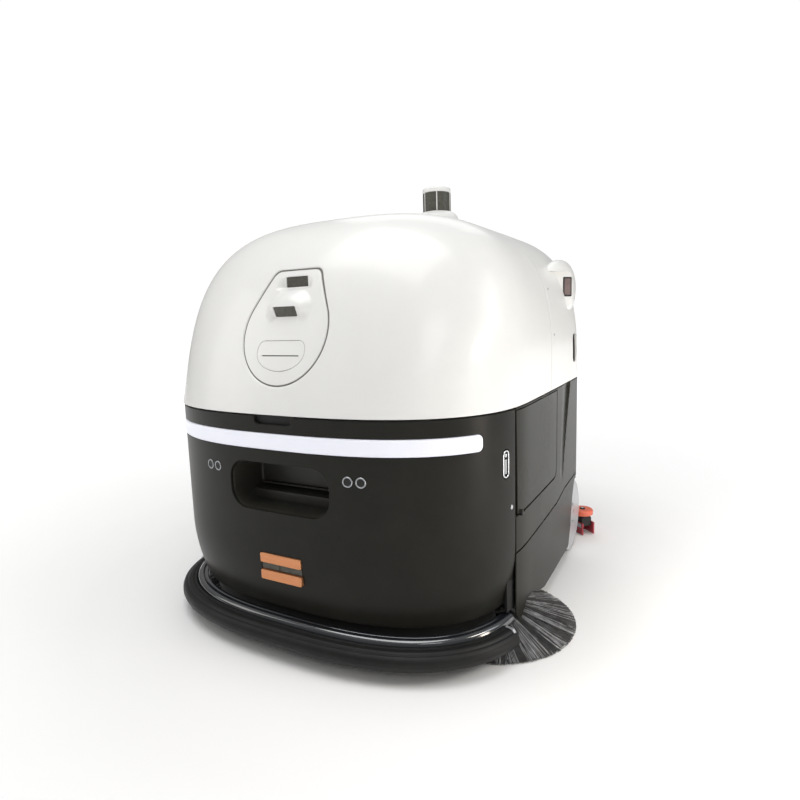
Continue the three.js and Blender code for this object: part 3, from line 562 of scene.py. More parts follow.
def on_body(u, z, depth, tucked=False):
    """A point of the body's outer face, u round it from the middle of the front, sunk by depth."""
    side, a = np.where(u < 0, -1.0, 1.0), np.abs(u)
    x, y = np.interp(a, ARC, PLAN[:, 0]), np.interp(a, ARC, PLAN[:, 1])
    if tucked:
        share = np.clip((TUCK_TOP - z) / (TUCK_TOP - SHELL_BOTTOM), 0, 1) ** 2
        x += share * (np.interp(a, ARC, TUCKED[:, 0]) - x)
        y += share * (np.interp(a, ARC, TUCKED[:, 1]) - y)
    tx, ty = np.interp(a, ARC, TANGENT[:, 0]), np.interp(a, ARC, TANGENT[:, 1])
    return (side * (x - ty * depth), y + tx * depth, z)


def on_front(u, z, depth):
    """The same on the front shell, which tucks in towards its lower edge."""
    return on_body(u, z, depth, tucked=True)


def dome_values(s):
    """The dome's plan at a share s of its height, as plan_half takes it."""
    depth = DOME_DEPTH * (1 - s) ** (1 / DOME_CURL)
    half = BODY["half"] * (1 - s ** DOME_CURL) ** (1 / DOME_SIDE_CURL)
    return dict(
        half=half, front=BODY["start"] + DOME_SHIFT - depth, start=BODY["start"] + DOME_SHIFT * s ** 0.73,
        power=2.78 + 0.22 * s, rear=BODY["rear"] - 14 * s - 34 * (1 - np.sqrt(1 - s ** 10)),
        corner=np.minimum(BODY["corner"] + 40 * s, half * 0.85),
    )


def dome_front(x, z, depth):
    """A point of the dome's front face; depth is measured straight back."""
    v = dome_values(np.clip((z - DOME_FLOOR) / DOME_RISE, 0, 0.999))
    reach = (1 - np.clip(np.abs(x) / v["half"], 0, 1) ** v["power"]) ** (1 / v["power"])
    return x, v["start"] - (v["start"] - v["front"]) * reach + depth, z


def dome_row(s, part, scale, z, rounded):
    """The left half of one level of the hood or the rear shell, from front to rear, its cut edge rounded."""
    v = dome_values(s)
    half = plan_half(**v, steps=DOME_STEPS)
    edge, trim = (HOOD_REAR, -0.9) if part == "hood" else (REAR_FRONT, 0.9)
    edge_x = v["half"] - BOW * (edge - v["start"]) ** 2
    at_edge = [(edge_x, edge + trim, scale), (edge_x, edge, scale - 0.0022 * rounded)]
    if part == "hood":
        sides_end = DOME_STEPS[0] + DOME_STEPS[1] - 1
        row = [(x, y, scale) for x, y in half[:sides_end] if y < edge - 4] + at_edge
    else:
        row = at_edge[::-1] + [(x, y, scale) for x, y in half[DOME_STEPS[0]:] if y > edge + 4]
    return np.array([(x * k, DOME_CENTRE_Y + (y - DOME_CENTRE_Y) * k if abs(y - edge) > 1 else y, z)
                     for x, y, k in row])


def resampled(row, count):
    """The same line with evenly spaced points, its last two points kept."""
    core = row[:-2]
    arc = arc_length(core)
    t = np.linspace(0, arc[-1], count)
    even = np.stack([np.interp(t, arc, core[:, k]) for k in range(3)], 1)
    return np.concatenate([even, row[-2:]])


def dome_part(part, levels=54):
    """The hood or the rear shell as a closed shell with rounded edges."""
    shares = [0.99985 * (1 - (1 - k) ** 2.3) for k in np.linspace(1, 0, levels)[:-1]]
    outer_rows = [(s, 1.0, DOME_FLOOR + DOME_RISE * s) for s in shares]
    outer_rows += [(0.0, 1.0, DOME_FLOOR + 1.5), (0.0, 0.9990, DOME_FLOOR + 0.4), (0.0, 0.9965, DOME_FLOOR)]
    inner_rows = [(s, 0.982, 437 + DOME_RISE * s * 0.982) for s in shares]
    inner_rows += [(0.0, 0.982, DOME_FLOOR + 0.5), (0.0, 0.9835, DOME_FLOOR), (0.0, 0.986, DOME_FLOOR)]

    def full(s, scale, z, rounded):
        row = dome_row(s, part, scale, z, rounded)
        if part == "hood":
            row = resampled(row, 64)
            mirror = row * (-1, 1, 1)
            return np.concatenate([mirror[::-1], row[1:]])
        row = resampled(row[::-1], 46)[::-1]
        mirror = row * (-1, 1, 1)
        return np.concatenate([row, mirror[::-1][1:]])

    outer = [full(s, k, z, 1.0) for s, k, z in outer_rows]
    inner = [full(s, k, max(z, DOME_FLOOR), 0.0) for s, k, z in inner_rows]
    rows = outer + inner[::-1]
    vertices, faces = loft(rows, closed=False)
    n, total = len(outer[0]), len(rows)
    for k in range(len(outer) - 1):
        a, b = k * n, (k + 1) * n
        c, d = (total - 1 - k) * n, (total - 2 - k) * n
        faces.append((a, b, d, c))
        faces.append((a + n - 1, c + n - 1, d + n - 1, b + n - 1))
    last = (total - 1) * n
    faces.append((0, last, last + n - 1, n - 1))
    return vertices, faces


# ---------------------------------------------------------------- dome


def bend(start, control, end, steps=7):
    """A curve from start to end that leaves and arrives pointing at control."""
    t = np.linspace(0, 1, steps)[:, None]
    return (1 - t) ** 2 * np.array(start) + 2 * t * (1 - t) * np.array(control) + t * t * np.array(end)


def teardrop(grow=0.0):
    """Flat top, straight sides that spread downwards, and a round lower end."""
    top, half, ball_z, ball, tangent = 691 + grow, 49 + grow, 582.0, 91 + grow, 0.43
    left = bend((-half + 13, top), (-half, top), (-half - 5.5, top - 13))
    a = np.linspace(math.pi - tangent, 2 * math.pi + tangent, 76)
    lower = np.stack([ball * np.cos(a), ball_z + ball * np.sin(a)], 1)
    right = left[::-1] * (-1, 1)
    share = np.linspace(0, 1, 14)[1:-1, None]
    left_side = left[-1] + (lower[0] - left[-1]) * share
    right_side = lower[-1] + (right[0] - lower[-1]) * share
    return np.concatenate([left, left_side, lower, right_side, right])


def plate_outline():
    """The cover low in the teardrop: flat top, rounded corners, the lower edge half an ellipse."""
    half, middle_z, top, drop, shoulder = 52, 547, 567, 31.5, 36
    a = np.linspace(0, -math.pi, 44)
    lower = np.stack([half * np.cos(a), middle_z + drop * np.sin(a)], 1)
    right = bend((shoulder, top), (half, top), (half, middle_z))
    left = bend((-half, middle_z), (-half, top), (-shoulder, top))
    return np.concatenate([right[:-1], lower, left[1:]])[::-1]


def smooth(value):
    """An even rise from 0 to 1."""
    t = np.clip(value, 0, 1)
    return t * t * (3 - 2 * t)


def brow(x, z):
    """How far the hump over the lower camera stands out."""
    up = np.clip((z - 626) / 33, 0, 1)
    reach = np.sqrt((x / 50) ** 2 + up ** 2)
    hump = np.clip(1 - reach ** 3.6, 0, 1) ** 1.6
    window = np.clip((z - 608.4) / 17.6, 0, 1)
    cheek = smooth((z - 596) / 26)
    blend = smooth((np.abs(x) - 25) / 9)
    return 16.5 * hump * (window * (1 - blend) + cheek * blend)


UPPER_WINDOW_Y = float(dome_front(np.array([0.0]), np.array([UPPER_CAMERA[1]]), 0.0)[1][0])


def recess(x, z, y):
    """How far the upper camera's recess sinks below the dome, down to an upright plane."""
    floor = UPPER_WINDOW_Y + 0.6 - y
    across = 1 - smooth((np.abs(x) - 25) / 17)
    along = smooth((z - 655.5) / 5.5) * (1 - smooth((z - 680) / 2.5))
    return np.clip(floor, 0, None) * across * along


def on_teardrop(x, z, depth):
    """The teardrop panel: the dome's face, with a brow over one camera and a recess for the other."""
    _, y, _ = dome_front(x, z, 0.0)
    return x, y + depth + recess(x, z, y) - brow(x, z), z


def follow(loop, depth):
    """A flat loop of (x, z) points laid on the dome's front face."""
    return np.stack(dome_front(loop[:, 0], loop[:, 1], np.full(len(loop), float(depth))), 1)


def make_dome():
    hood = make("hood_skin", dome_part("hood"), "white_shell", "hood", ["hood"], sharp=60)
    cutter = loft([follow(teardrop(g), d) for g, d in (
        (15.0, -16), (6.6, -1.2), (5.6, 0.0), (4.2, 0.3), (3.1, 1.1), (2.4, 2.2), (2.1, 3.4), (2.1, 26))])
    cut(hood, cutter)

    upper, lower = (rounded_rect(-24, low, 24, high, 1.5, 3) for low, high in (UPPER_CAMERA, LOWER_CAMERA))
    holes = [(grown(upper, 0.3), 0.5), (grown(lower, 0.3), 0.5), (grown(plate_outline(), 0.7), 0.6)]
    shape = panel(teardrop(-0.3), on_teardrop, 4.6, holes, edge=1.8, spacing=3.0, lift=-0.7)
    make("teardrop_panel", shape, "white_shell", "hood", ["camera_panel"])
    slit = rounded_rect(-41, 540.6, 41, 542.4, 0.8, 3)
    plate = panel(plate_outline(), on_teardrop, 4.0, [(slit, 0.4)], edge=0.7, spacing=4, lift=-0.7)
    make("oval_cover", plate, "white_shell", "hood", ["oval_plate"])
    for name, window in (("upper_camera", upper), ("lower_camera", lower)):
        make(f"{name}_window", panel(window, on_teardrop, 6.0, edge=0.5, spacing=3, lift=-1.9),
             "dark_glass", "hood", [name], finish="lens_grey")
    # A grey ring down in the gap round the teardrop panel: painted shade that gives the groove its dark core.
    rings = [follow(teardrop(g), d)
             for g, d in ((-2.2, 2.6), (3.4, 2.6), (3.4, 4.4), (-2.2, 4.4), (-2.2, 2.6))]
    make("teardrop_groove_shade", loft(rings, caps=(False, False)), "dark_plastic", "hood", finish="groove_painted_shade")
    # A near-black ring behind the teardrop's gap: painted shade.
    behind = loft([follow(teardrop(g), d) for g, d in ((5, 14.5), (6, 15.5), (6, 17.5), (5, 18.5))])
    make("teardrop_backing", behind, "dark_plastic", "hood", finish="gap_painted_shade")

    rear = make("rear_skin", dome_part("rear"), "white_shell", "chassis", ["rear_shell"], sharp=60)
    slots = [box((s * 150 - 16, 0, 740), (s * 150 + 16, 44, 840), 2, 0.5) for s in (-1, 1)]
    screen = slab("y", rounded_rect(-118, 598, 118, 742, 8), 270, 372, 0.5)
    buttons = [turned([(0, -60), (r, -60), (r, 60), (0, 60)], (x, 330, z), "y", 40)
               for r, (x, z) in ((19.5, STOP_BUTTON), (12, POWER_BUTTON))]
    vents = [slab("y", rounded_rect(-250, z, -140, z + 5, 2.4, 4), 300, 380, 0.3)
             for z in range(610, 730, 14)]
    port = slab("y", rounded_rect(-60, 500, 60, 556, 10), 300, 380, 0.3)
    grip = slab("x", rounded_rect(228, 482, 274, 552, 18, 8), 330, 400, 0.5)
    cut(rear, *slots, screen, *buttons, *vents, port, *[mirrored(grip, side) for _, side in SIDES])
    make_rear_controls()
    make_pods()
    make_scanner()
    make_dome_trim()


def make_rear_controls():
    """The touch screen, vent slats, port cover, emergency stop and power button."""
    glass = slab("y", rounded_rect(-115, 601, 115, 739, 7), 322, 333.4, 1.0)
    make("touch_screen_glass", glass, "dark_glass", "chassis", ["touch_screen"])
    bezel = slab("y", rounded_rect(-102, 614, 102, 728, 4), 333.0, 333.9, 0.3)
    make("touch_screen_display", bezel, "dark_glass", "chassis", finish="lens_grey")
    slats = [slab("y", rounded_rect(-256, z - 4, -134, z + 9, 3, 4), 318, 322, 0.5)
             for z in range(614, 730, 14)]
    shade_sheet("rear_vent_slats", together(*slats))
    hatch = slab("y", rounded_rect(-59, 501, 59, 555, 9), 322, 331, 1.2)
    grip = slab("y", rounded_rect(-22, 540, 22, 549, 4), 330, 336.5, 1.5)
    make("rear_port_cover", together(hatch, grip), "dark_plastic", "chassis")
    head = [(0, 16), (8, 15.9), (17, 15.0), (22, 12.4), (24, 8), (23.4, 4), (18, 2.6), (17.6, -20), (0, -20)]
    x, z = STOP_BUTTON
    make("stop_button_head", turned(head, (x, 342, z), "y", 56), "button_red", "emergency_stop",
         ["emergency_stop"])
    collar = [(19.8, -14), (29, -14), (29, -1), (27.5, 0.6), (20.6, 0.6), (19.8, -0.4)]
    make("stop_button_collar", turned(collar, (x, 333, z), "y", 56, ring=True), "dark_plastic", "chassis")
    knob = [(0, 4.6), (8, 4.4), (10.2, 3.2), (10.9, 1), (10.9, -20), (0, -20)]
    x, z = POWER_BUTTON
    make("power_button_cap", turned(knob, (x, 333, z), "y", 40), "silver_plastic", "power_button",
         ["power_button"])
    ring = [(12.3, -8), (16, -8), (16, 0.6), (15, 1.6), (12.8, 1.6), (12.3, 1)]
    make("power_button_ring", turned(ring, (x, 332, z), "y", 40, ring=True), "chrome", "chassis")


POD_TURN = 0.873


def on_facet(t, z, depth):
    """A point of the pod's front facet: t along it, sunk by depth."""
    c, s = math.cos(POD_TURN), math.sin(POD_TURN)
    return np.stack([361.5 + c * t - s * depth, 190 + s * t + c * depth, z], 1)


def facet_loft(layers):
    """A loft of (flat loop, depth) layers, square to the facet."""
    return loft([on_facet(flat[:, 0], flat[:, 1], np.full(len(flat), float(depth)))
                 for flat, depth in layers])


def pod_blister(steps=30, around=60):
    """The long egg that swells out of the side of the dome."""
    a = np.linspace(0, 2 * math.pi, around, endpoint=False)
    c, s = np.cos(a), np.sin(a)
    rings = []
    for k in np.linspace(0, 1, steps):
        reach = max(math.sin(math.pi * k), 0.02)
        length = POD["ahead"] if k < 0.5 else POD["behind"]
        x = POD["x"] + POD["wide"] * reach * np.sign(c) * np.abs(c) ** 0.9
        y = np.full(around, POD["y"] - length * math.cos(math.pi * k))
        z = POD["z"] + POD["high"] * reach * np.sign(s) * np.abs(s) ** 0.9
        rings.append(np.stack([x, y, z], 1))
    return loft(rings)


def make_pods():
    """The side camera housings, each cut off by an upright facet that holds the camera's window."""
    for name, side in SIDES:
        pod = make(f"{name}_camera_pod", mirrored(pod_blister(), side), "white_shell", "chassis", sharp=80)
        ahead = facet_loft([(rounded_rect(-120, 560, 60, 693, 18, 6), d) for d in (-140, 0)])
        opening = facet_loft([(rounded_rect(-12.3, 637.7, 12.3, 682.3, 2.5, 3), d) for d in (-5, 9)])
        cut(pod, mirrored(ahead, side), mirrored(opening, side))
        edge = pod.modifiers.new("rounding", "BEVEL")
        edge.width, edge.segments = 2.2 * MM, 3
        edge.limit_method, edge.angle_limit = "ANGLE", math.radians(34)
        rim = []
        for grow, depth in ((0, 6), (0, -0.2), (-0.6, -0.6), (-2.8, -0.6), (-3.6, 0.2), (-3.6, 6)):
            rim.append((rounded_rect(-12 - grow, 638 - grow, 12 + grow, 682 + grow, 2, 3), depth))
        make(f"{name}_pod_rim", mirrored(facet_loft(rim), side), "dark_plastic", "chassis")
        glass = [(rounded_rect(-8.6 - g, 641.4 - g, 8.6 + g, 678.6 + g, 1.6, 3), d)
                 for g, d in ((-0.8, -1.2), (-0.2, -1.0), (0, -0.4), (0, 5))]
        make(f"{name}_pod_glass", mirrored(facet_loft(glass), side), "dark_glass", "chassis",
             finish="window_pink")


def make_scanner():
    """The pedestal, given as (height, half width, reach ahead, reach behind) rows, and the scanner on it."""
    levels = [(786, 75, 114, 44), (806, 71.5, 107, 44), (826, 67, 96, 44), (845, 62, 84, 43.6),
              (855, 58.6, 74, 43), (862, 55, 66, 42.6), (867, 51, 57, 42.2), (870.4, 47, 49, 41.8),
              (872.6, 43.6, 44.4, 41.4),
              (873.8, 41.4, 41.8, 40.6), (874.6, 39.6, 39.6, 39.2)]
    a = np.linspace(0, 2 * math.pi, 72, endpoint=False)
    rings = []
    for z, half, forward, backward in levels:
        reach = np.where(np.sin(a) < 0, forward, backward)
        rings.append(np.stack([half * np.cos(a), SCANNER[1] + reach * np.sin(a), np.full(72, z)], 1))
    make("scanner_pedestal", loft(rings), "white_shell", "chassis", sharp=70)
    window = [(33, 876), (36.4, 876), (36.9, 877), (36.9, 921), (36.4, 922.4), (33, 922.4)]
    make("scanner_band", turned(window, SCANNER, "z", 72, ring=True), "dark_glass", "chassis",
         ["scanner_window"], finish="lens_grey")
    cap = [(0, 923.4), (36.2, 923.4), (37, 924.4), (37, 931), (36.2, 934), (33.5, 936.3), (28, 937), (0, 937)]
    make("scanner_top", turned(cap, SCANNER, "z", 72), "white_shell", "chassis", ["scanner_cap"])
    ribs, rib_reach = [], 36.2
    for turn in (-33, 24.6, 92, 160, 228, 280):
        a = math.radians(turn - 90)
        spot = (rib_reach * math.cos(a), SCANNER[1] + rib_reach * math.sin(a), 0)
        ribs.append(turned([(0, 876), (1.5, 876), (1.5, 922.6), (0, 922.6)], spot, "z", 10))
    make("scanner_ribs", together(*ribs), "white_shell", "chassis")
    rotor = [(0, 877.2), (28.4, 877.2), (29, 878), (29, 919), (28.4, 920), (0, 920)]
    make("scanner_drum", turned(rotor, SCANNER, "z", 48), "dark_plastic", "scanner_rotor",
         ["scanner_rotor"])
    eyes = [turned([(0, -2), (7, -2), (7.6, -1), (7.6, 3), (0, 3)], (0, SCANNER[1] - 27.5, z), "y", 28)
            for z in (890, 907)]
    make("scanner_eyes", together(*eyes), "dark_glass", "scanner_rotor")


def make_dome_trim():
    """Small screws, and the cup behind the grip opening, on each side of the rear shell."""
    for name, side in SIDES:
        screws = []
        for y, z in ((40, 650), (40, 556)):
            x = side_of_dome(y, z)
            screws.append(turned([(0, 0.5), (2.6, 0.4), (3.2, -0.2), (3.2, -3), (0, -3)], (x, y, z), "x", 20))
        make(f"{name}_dome_screws", mirrored(together(*screws), side), "frame_steel", "chassis")
        grip = panel(rounded_rect(222, 474, 280, 560, 22, 8), on_dome_side, 3.0, edge=1.0, spacing=10,
                     lift=-8.0)
        make(f"{name}_grip_cup", mirrored(grip, side), "dark_plastic", "chassis")


def side_of_dome(y, z):
    """How far out the dome's left side stands at a place along it."""
    v = dome_values(np.clip((z - DOME_FLOOR) / DOME_RISE, 0, 0.999))
    y = np.asarray(y, float)
    straight = v["half"] - BOW * (y - v["start"]) ** 2
    begin = v["rear"] - v["corner"]
    centre = v["half"] - BOW * (begin - v["start"]) ** 2 - v["corner"]
    curved = centre + np.sqrt(np.maximum(v["corner"] ** 2 - np.maximum(y - begin, 0) ** 2, 0))
    return np.where(y > begin, curved, straight)


def on_dome_side(y, z, depth):
    return side_of_dome(y, z) - depth, y, z


# ---------------------------------------------------------------- lower body


def make_front():
    """The front shell, with a finger notch in its top edge, and all that is set into it."""
    edge_u = u_at_y(FRONT_EDGE)
    outline = np.array([
        (-edge_u, SHELL_BOTTOM), (edge_u, SHELL_BOTTOM), (edge_u, DOME_SEAM), (40, DOME_SEAM), (40, 432),
        (38, 427), (33, 425), (-33, 425), (-38, 427), (-40, 432), (-40, DOME_SEAM), (-edge_u, DOME_SEAM)])
    strip_u = u_at_x(STRIP_HALF)
    strip = rounded_rect(-strip_u, STRIP_LOW, strip_u, STRIP_HIGH, 10, 6)
    pocket = rounded_rect(-RECESS_HALF, RECESS_LOW, RECESS_HALF, RECESS_HIGH, RECESS_CORNER, 10)
    contacts = rounded_rect(-46.6, 137.4, 46.6, 188.6, 2.5, 3)
    u0, u1 = u_at_y(-264), u_at_y(-244)
    left_latch = rounded_rect(u0, 322, u1, 374, 9, 6)
    right_latch = rounded_rect(-u1, 322, -u0, 374, 9, 6)
    holes = [(grown(strip, 0.5), 0.8), (pocket, 1.5), (contacts, 1.0), (left_latch, 1.2), (right_latch, 1.2)]
    make("front_skin", panel(outline, on_front, WALL, holes, edge=1.6, spacing=11), "black_shell", "chassis",
         ["front_shell"])
    make("light_band", panel(strip, on_front, 5.0, edge=2.4, spacing=9, lift=0.9), "light_diffuser",
         "chassis", ["light_strip"])
    path = body_path(-edge_u, edge_u, 120)
    # Near-black channel and flange behind the light band and the dome seam: painted shade.
    shade_sheet("strip_channel", swept(path, [(-9.5, 376), (-6.2, 376), (-6.2, 413), (-9.5, 413)]))
    shade_sheet("front_flange", swept(path, soften([(-13, 418), (-7, 418), (-7, 440.4), (-13, 440.4)], 1)))
    make_recess()
    make_contacts()
    make_sonars()
    for name, side in SIDES:
        make_latch(name, side)
    toe = soften([(-6, 40), (0, 40), (0, 96), (2, 116), (-4, 120), (-8, 116)], 1.5)
    make("toe_band", swept(nose_path(TOE, -226, 90), toe), "dark_plastic", "chassis", ["toe_panel"])


def body_path(u0, u1, steps):
    """Plan rows [x, y, nx, ny] along the body between two places round it."""
    u = np.linspace(u0, u1, steps)
    x, y, _ = on_body(u, 0 * u + 300, 0 * u)
    inner = on_body(u, 0 * u + 300, 0 * u + 1)
    return np.stack([x, y, x - inner[0], y - inner[1]], 1)


def nose_path(plan, y_end, steps):
    """Plan rows along a rounded nose that runs back to y_end on both sides."""
    half = plan_half(**plan, steps=(400,))
    half = half[half[:, 1] <= y_end]
    arc = arc_length(half)
    tangent = np.gradient(half, arc, axis=0)
    tangent[0] = (1, 0)
    tangent = unit(tangent)
    u = np.linspace(-arc[-1], arc[-1], steps * 2 + 1)
    side, a = np.where(u < 0, -1.0, 1.0), np.abs(u)
    x, y = np.interp(a, arc, half[:, 0]), np.interp(a, arc, half[:, 1])
    tx, ty = np.interp(a, arc, tangent[:, 0]), np.interp(a, arc, tangent[:, 1])
    length = np.hypot(tx, ty)
    return np.stack([side * x, y, side * ty / length, -tx / length], 1)


def recess_loop(grow):
    return rounded_rect(-RECESS_HALF - grow, RECESS_LOW - grow, RECESS_HALF + grow, RECESS_HIGH + grow,
                        RECESS_CORNER + grow, 10)


def make_recess():
    """The docking recess: a pocket whose rings lie at a place y or follow the front face at a depth."""
    back = RECESS_BACK
    count = len(densify(recess_loop(0.0), 9))
    rings = []
    for grow, y, depth in ((2.5, back + 4.5, 0), (3.5, back + 3, 0), (4, back - 4, 0), (4, -405, 0),
                           (4.4, None, 7), (3.6, None, 6.2), (1.0, None, 5.2), (0.2, None, 6.2),
                           (-0.6, None, 10), (-1.5, -400, 0), (-4, back - 8, 0), (-5.4, back - 2.6, 0),
                           (-9, back, 0)):
        flat = recess_loop(grow)
        closed = np.concatenate([flat, flat[:1]])
        arc = arc_length(closed)
        even = np.linspace(0, arc[-1], count, endpoint=False)
        flat = np.stack([np.interp(even, arc, closed[:, k]) for k in range(2)], 1)
        if y is not None:
            rings.append(onto("y", flat, y))
        else:
            u = np.sign(flat[:, 0]) * u_at_x(np.abs(flat[:, 0]))
            rings.append(np.stack(on_front(u, flat[:, 1], depth), 1))
    # The pocket, shelf and ridge are painted lighter than the shell, to lift the shade in the recess.
    make("recess_pocket", loft(rings), "black_shell", "chassis", ["docking_recess"], sharp=50,
         finish="recess_painted_light")
    shelf = np.array([(-97, 268), (97, 268), (101, 280), (101, 288), (-101, 288), (-101, 280)])
    make("recess_shelf", slab("y", soften(shelf, 5, 4), -377, back + 2, 2.2, 3), "black_shell", "chassis",
         finish="recess_painted_light")
    lip = slab("y", soften([(-99, 291.5), (99, 291.5), (99, 295), (-99, 295)], 1.2), -352, back + 1, 0.8)
    make("recess_ridge", lip, "black_shell", "chassis", finish="recess_painted_light")
    barrel = turned([(0, -8), (9, -8), (10, -6), (10, 8), (0, 8)], (0, -362, 351), "y", 32)
    eye = turned([(0, -2), (2.2, -2), (2.6, -1), (2.6, 3), (0, 3)], (0, -370, 348), "y", 20)
    make("recess_sensor", barrel, "dark_plastic", "chassis")
    make("recess_sensor_eye", eye, "silver_plastic", "chassis")


def make_contacts():
    """Two copper bars with rounded ends, and the dark window between them."""
    profile = soften([(-2.6, 0), (-2.6, 18), (9, 18), (9, 0)], 2.2, 4)
    centre, reach = np.array([3.2, 9.0]), np.array([5.8, 9.0])
    ends = [(46, 2.2), (45.4, 1.0), (44.2, 0.3), (42, 0)]
    for name, low in (("upper", 170.0), ("lower", 138.0)):
        rings = []
        for x, inset in [(-x, inset) for x, inset in ends] + ends[::-1]:
            flat = centre + (profile - centre) * (reach - inset) / reach
            rings.append(np.stack([np.full(len(flat), x), BODY["front"] + flat[:, 0], low + flat[:, 1]], 1))
        make(f"{name}_contact_bar", loft(rings), "copper", "chassis", [f"{name}_charging_contact"])
    plates = [slab("y", rounded_rect(x0, 157, x1, 169, 0.8, 3), -426.4, -420, 0.5)
              for x0, x1 in ((-45, -5.2), (-4.2, 45))]
    make("contact_window", together(*plates), "dark_glass", "chassis", finish="lens_grey")
    shade_sheet("contact_backing", slab("y", rounded_rect(-48, 136, 48, 190, 2, 3), -423, -412, 0.5))


def make_sonars():
    """Four ultrasonic sensors, each a ring round a disc with bars, square to the front face."""
    profile = [(6.9, -1.5), (9.2, -1.5), (9.2, 0.3), (8.6, 1.0), (7.5, 1.0), (6.9, 0.4)]
    ring = turned(profile, (0, 0, 0), "z", 40, ring=True)
    disc = turned([(0, -1.5), (6.9, -1.5), (6.9, 0.1), (0, 0.1)], (0, 0, 0), "z", 32)
    bars = [box((-6.6, k - 0.3, 0.05), (6.6, k + 0.3, 0.5), 0.25, 0.1) for k in (-4.4, -2.2, 0, 2.2, 4.4)]
    grille = together(disc, *bars)
    rims, meshes = [], []
    for x in (-168, -145, 145, 168):
        u = np.sign(x) * u_at_x(abs(x))
        here, deep = (np.array([float(v) for v in on_front(u, 337.0, depth)]) for depth in (0.0, 1.0))
        turn = Vector(here - deep).to_track_quat("Z", "Y").to_matrix()
        for group, shape in ((rims, ring), (meshes, grille)):
            points = np.array([turn @ Vector(p) for p in shape[0]]) + here
            group.append((points, shape[1]))
    make("sonar_rims", together(*rims), "chrome", "chassis", finish="frame_steel")
    make("sonar_meshes", together(*meshes), "dark_plastic", "chassis")


def make_latch(name, side):
    """An oval chrome ring with a sunk paddle, and the lock below it."""
    u0, u1 = u_at_y(-262.6), u_at_y(-245.4)
    middle = (u0 + u1) / 2
    opening = rounded_rect(u0 + 2.6, 326.4, u1 - 2.6, 369.6, 5.6, 7)
    ring = panel(rounded_rect(u0, 323.5, u1, 372.5, 8, 7), on_front, 10.0, [(opening, 1.0)], edge=1.2,
                 spacing=5, lift=0.8)
    make(f"{name}_latch_rim", mirrored(ring, side), "chrome", "chassis")
    well = panel(rounded_rect(u0 + 1.4, 325, u1 - 1.4, 371, 7, 7), on_front, 1.4, edge=0.4, spacing=5,
                 lift=-9.4)
    shade_sheet(f"{name}_latch_well", mirrored(well, side))
    paddle = panel(rounded_rect(u0 + 4.4, 328.8, u1 - 4.4, 356.6, 4, 6), on_front, 3.2, edge=1.6, spacing=4,
                   lift=-1.6)
    make(f"{name}_latch_paddle", mirrored(paddle, side), "chrome", f"{name}_latch", [f"{name}_door_latch"],
         finish="gloss_black")
    strip = panel(rounded_rect(middle + 0.6, 330, middle + 2.8, 356, 1.0, 4), on_front, 1.2, edge=0.4,
                  spacing=4, lift=-1.2)
    make(f"{name}_latch_strip", mirrored(strip, side), "chrome", f"{name}_latch")
    x, y, _ = on_front(middle, 363.0, 3.4)
    bead = turned([(0, 4.2), (2.4, 3.8), (3.6, 2.4), (3.6, 0), (0, 0)], (x, y, 363.0), "x", 24)
    make(f"{name}_latch_bead", mirrored(bead, side), "chrome", f"{name}_latch")
    lock_y = -236.0
    x, _, z = on_front(u_at_y(lock_y), 267.0, 0.0)
    dot = turned([(0, 1.2), (2.8, 1.0), (4.2, 0.2), (4.6, -0.6), (4.6, -4), (0, -4)], (x, lock_y, z), "x", 28)
    make(f"{name}_lock_dot", mirrored(dot, side), "silver_plastic", "chassis")


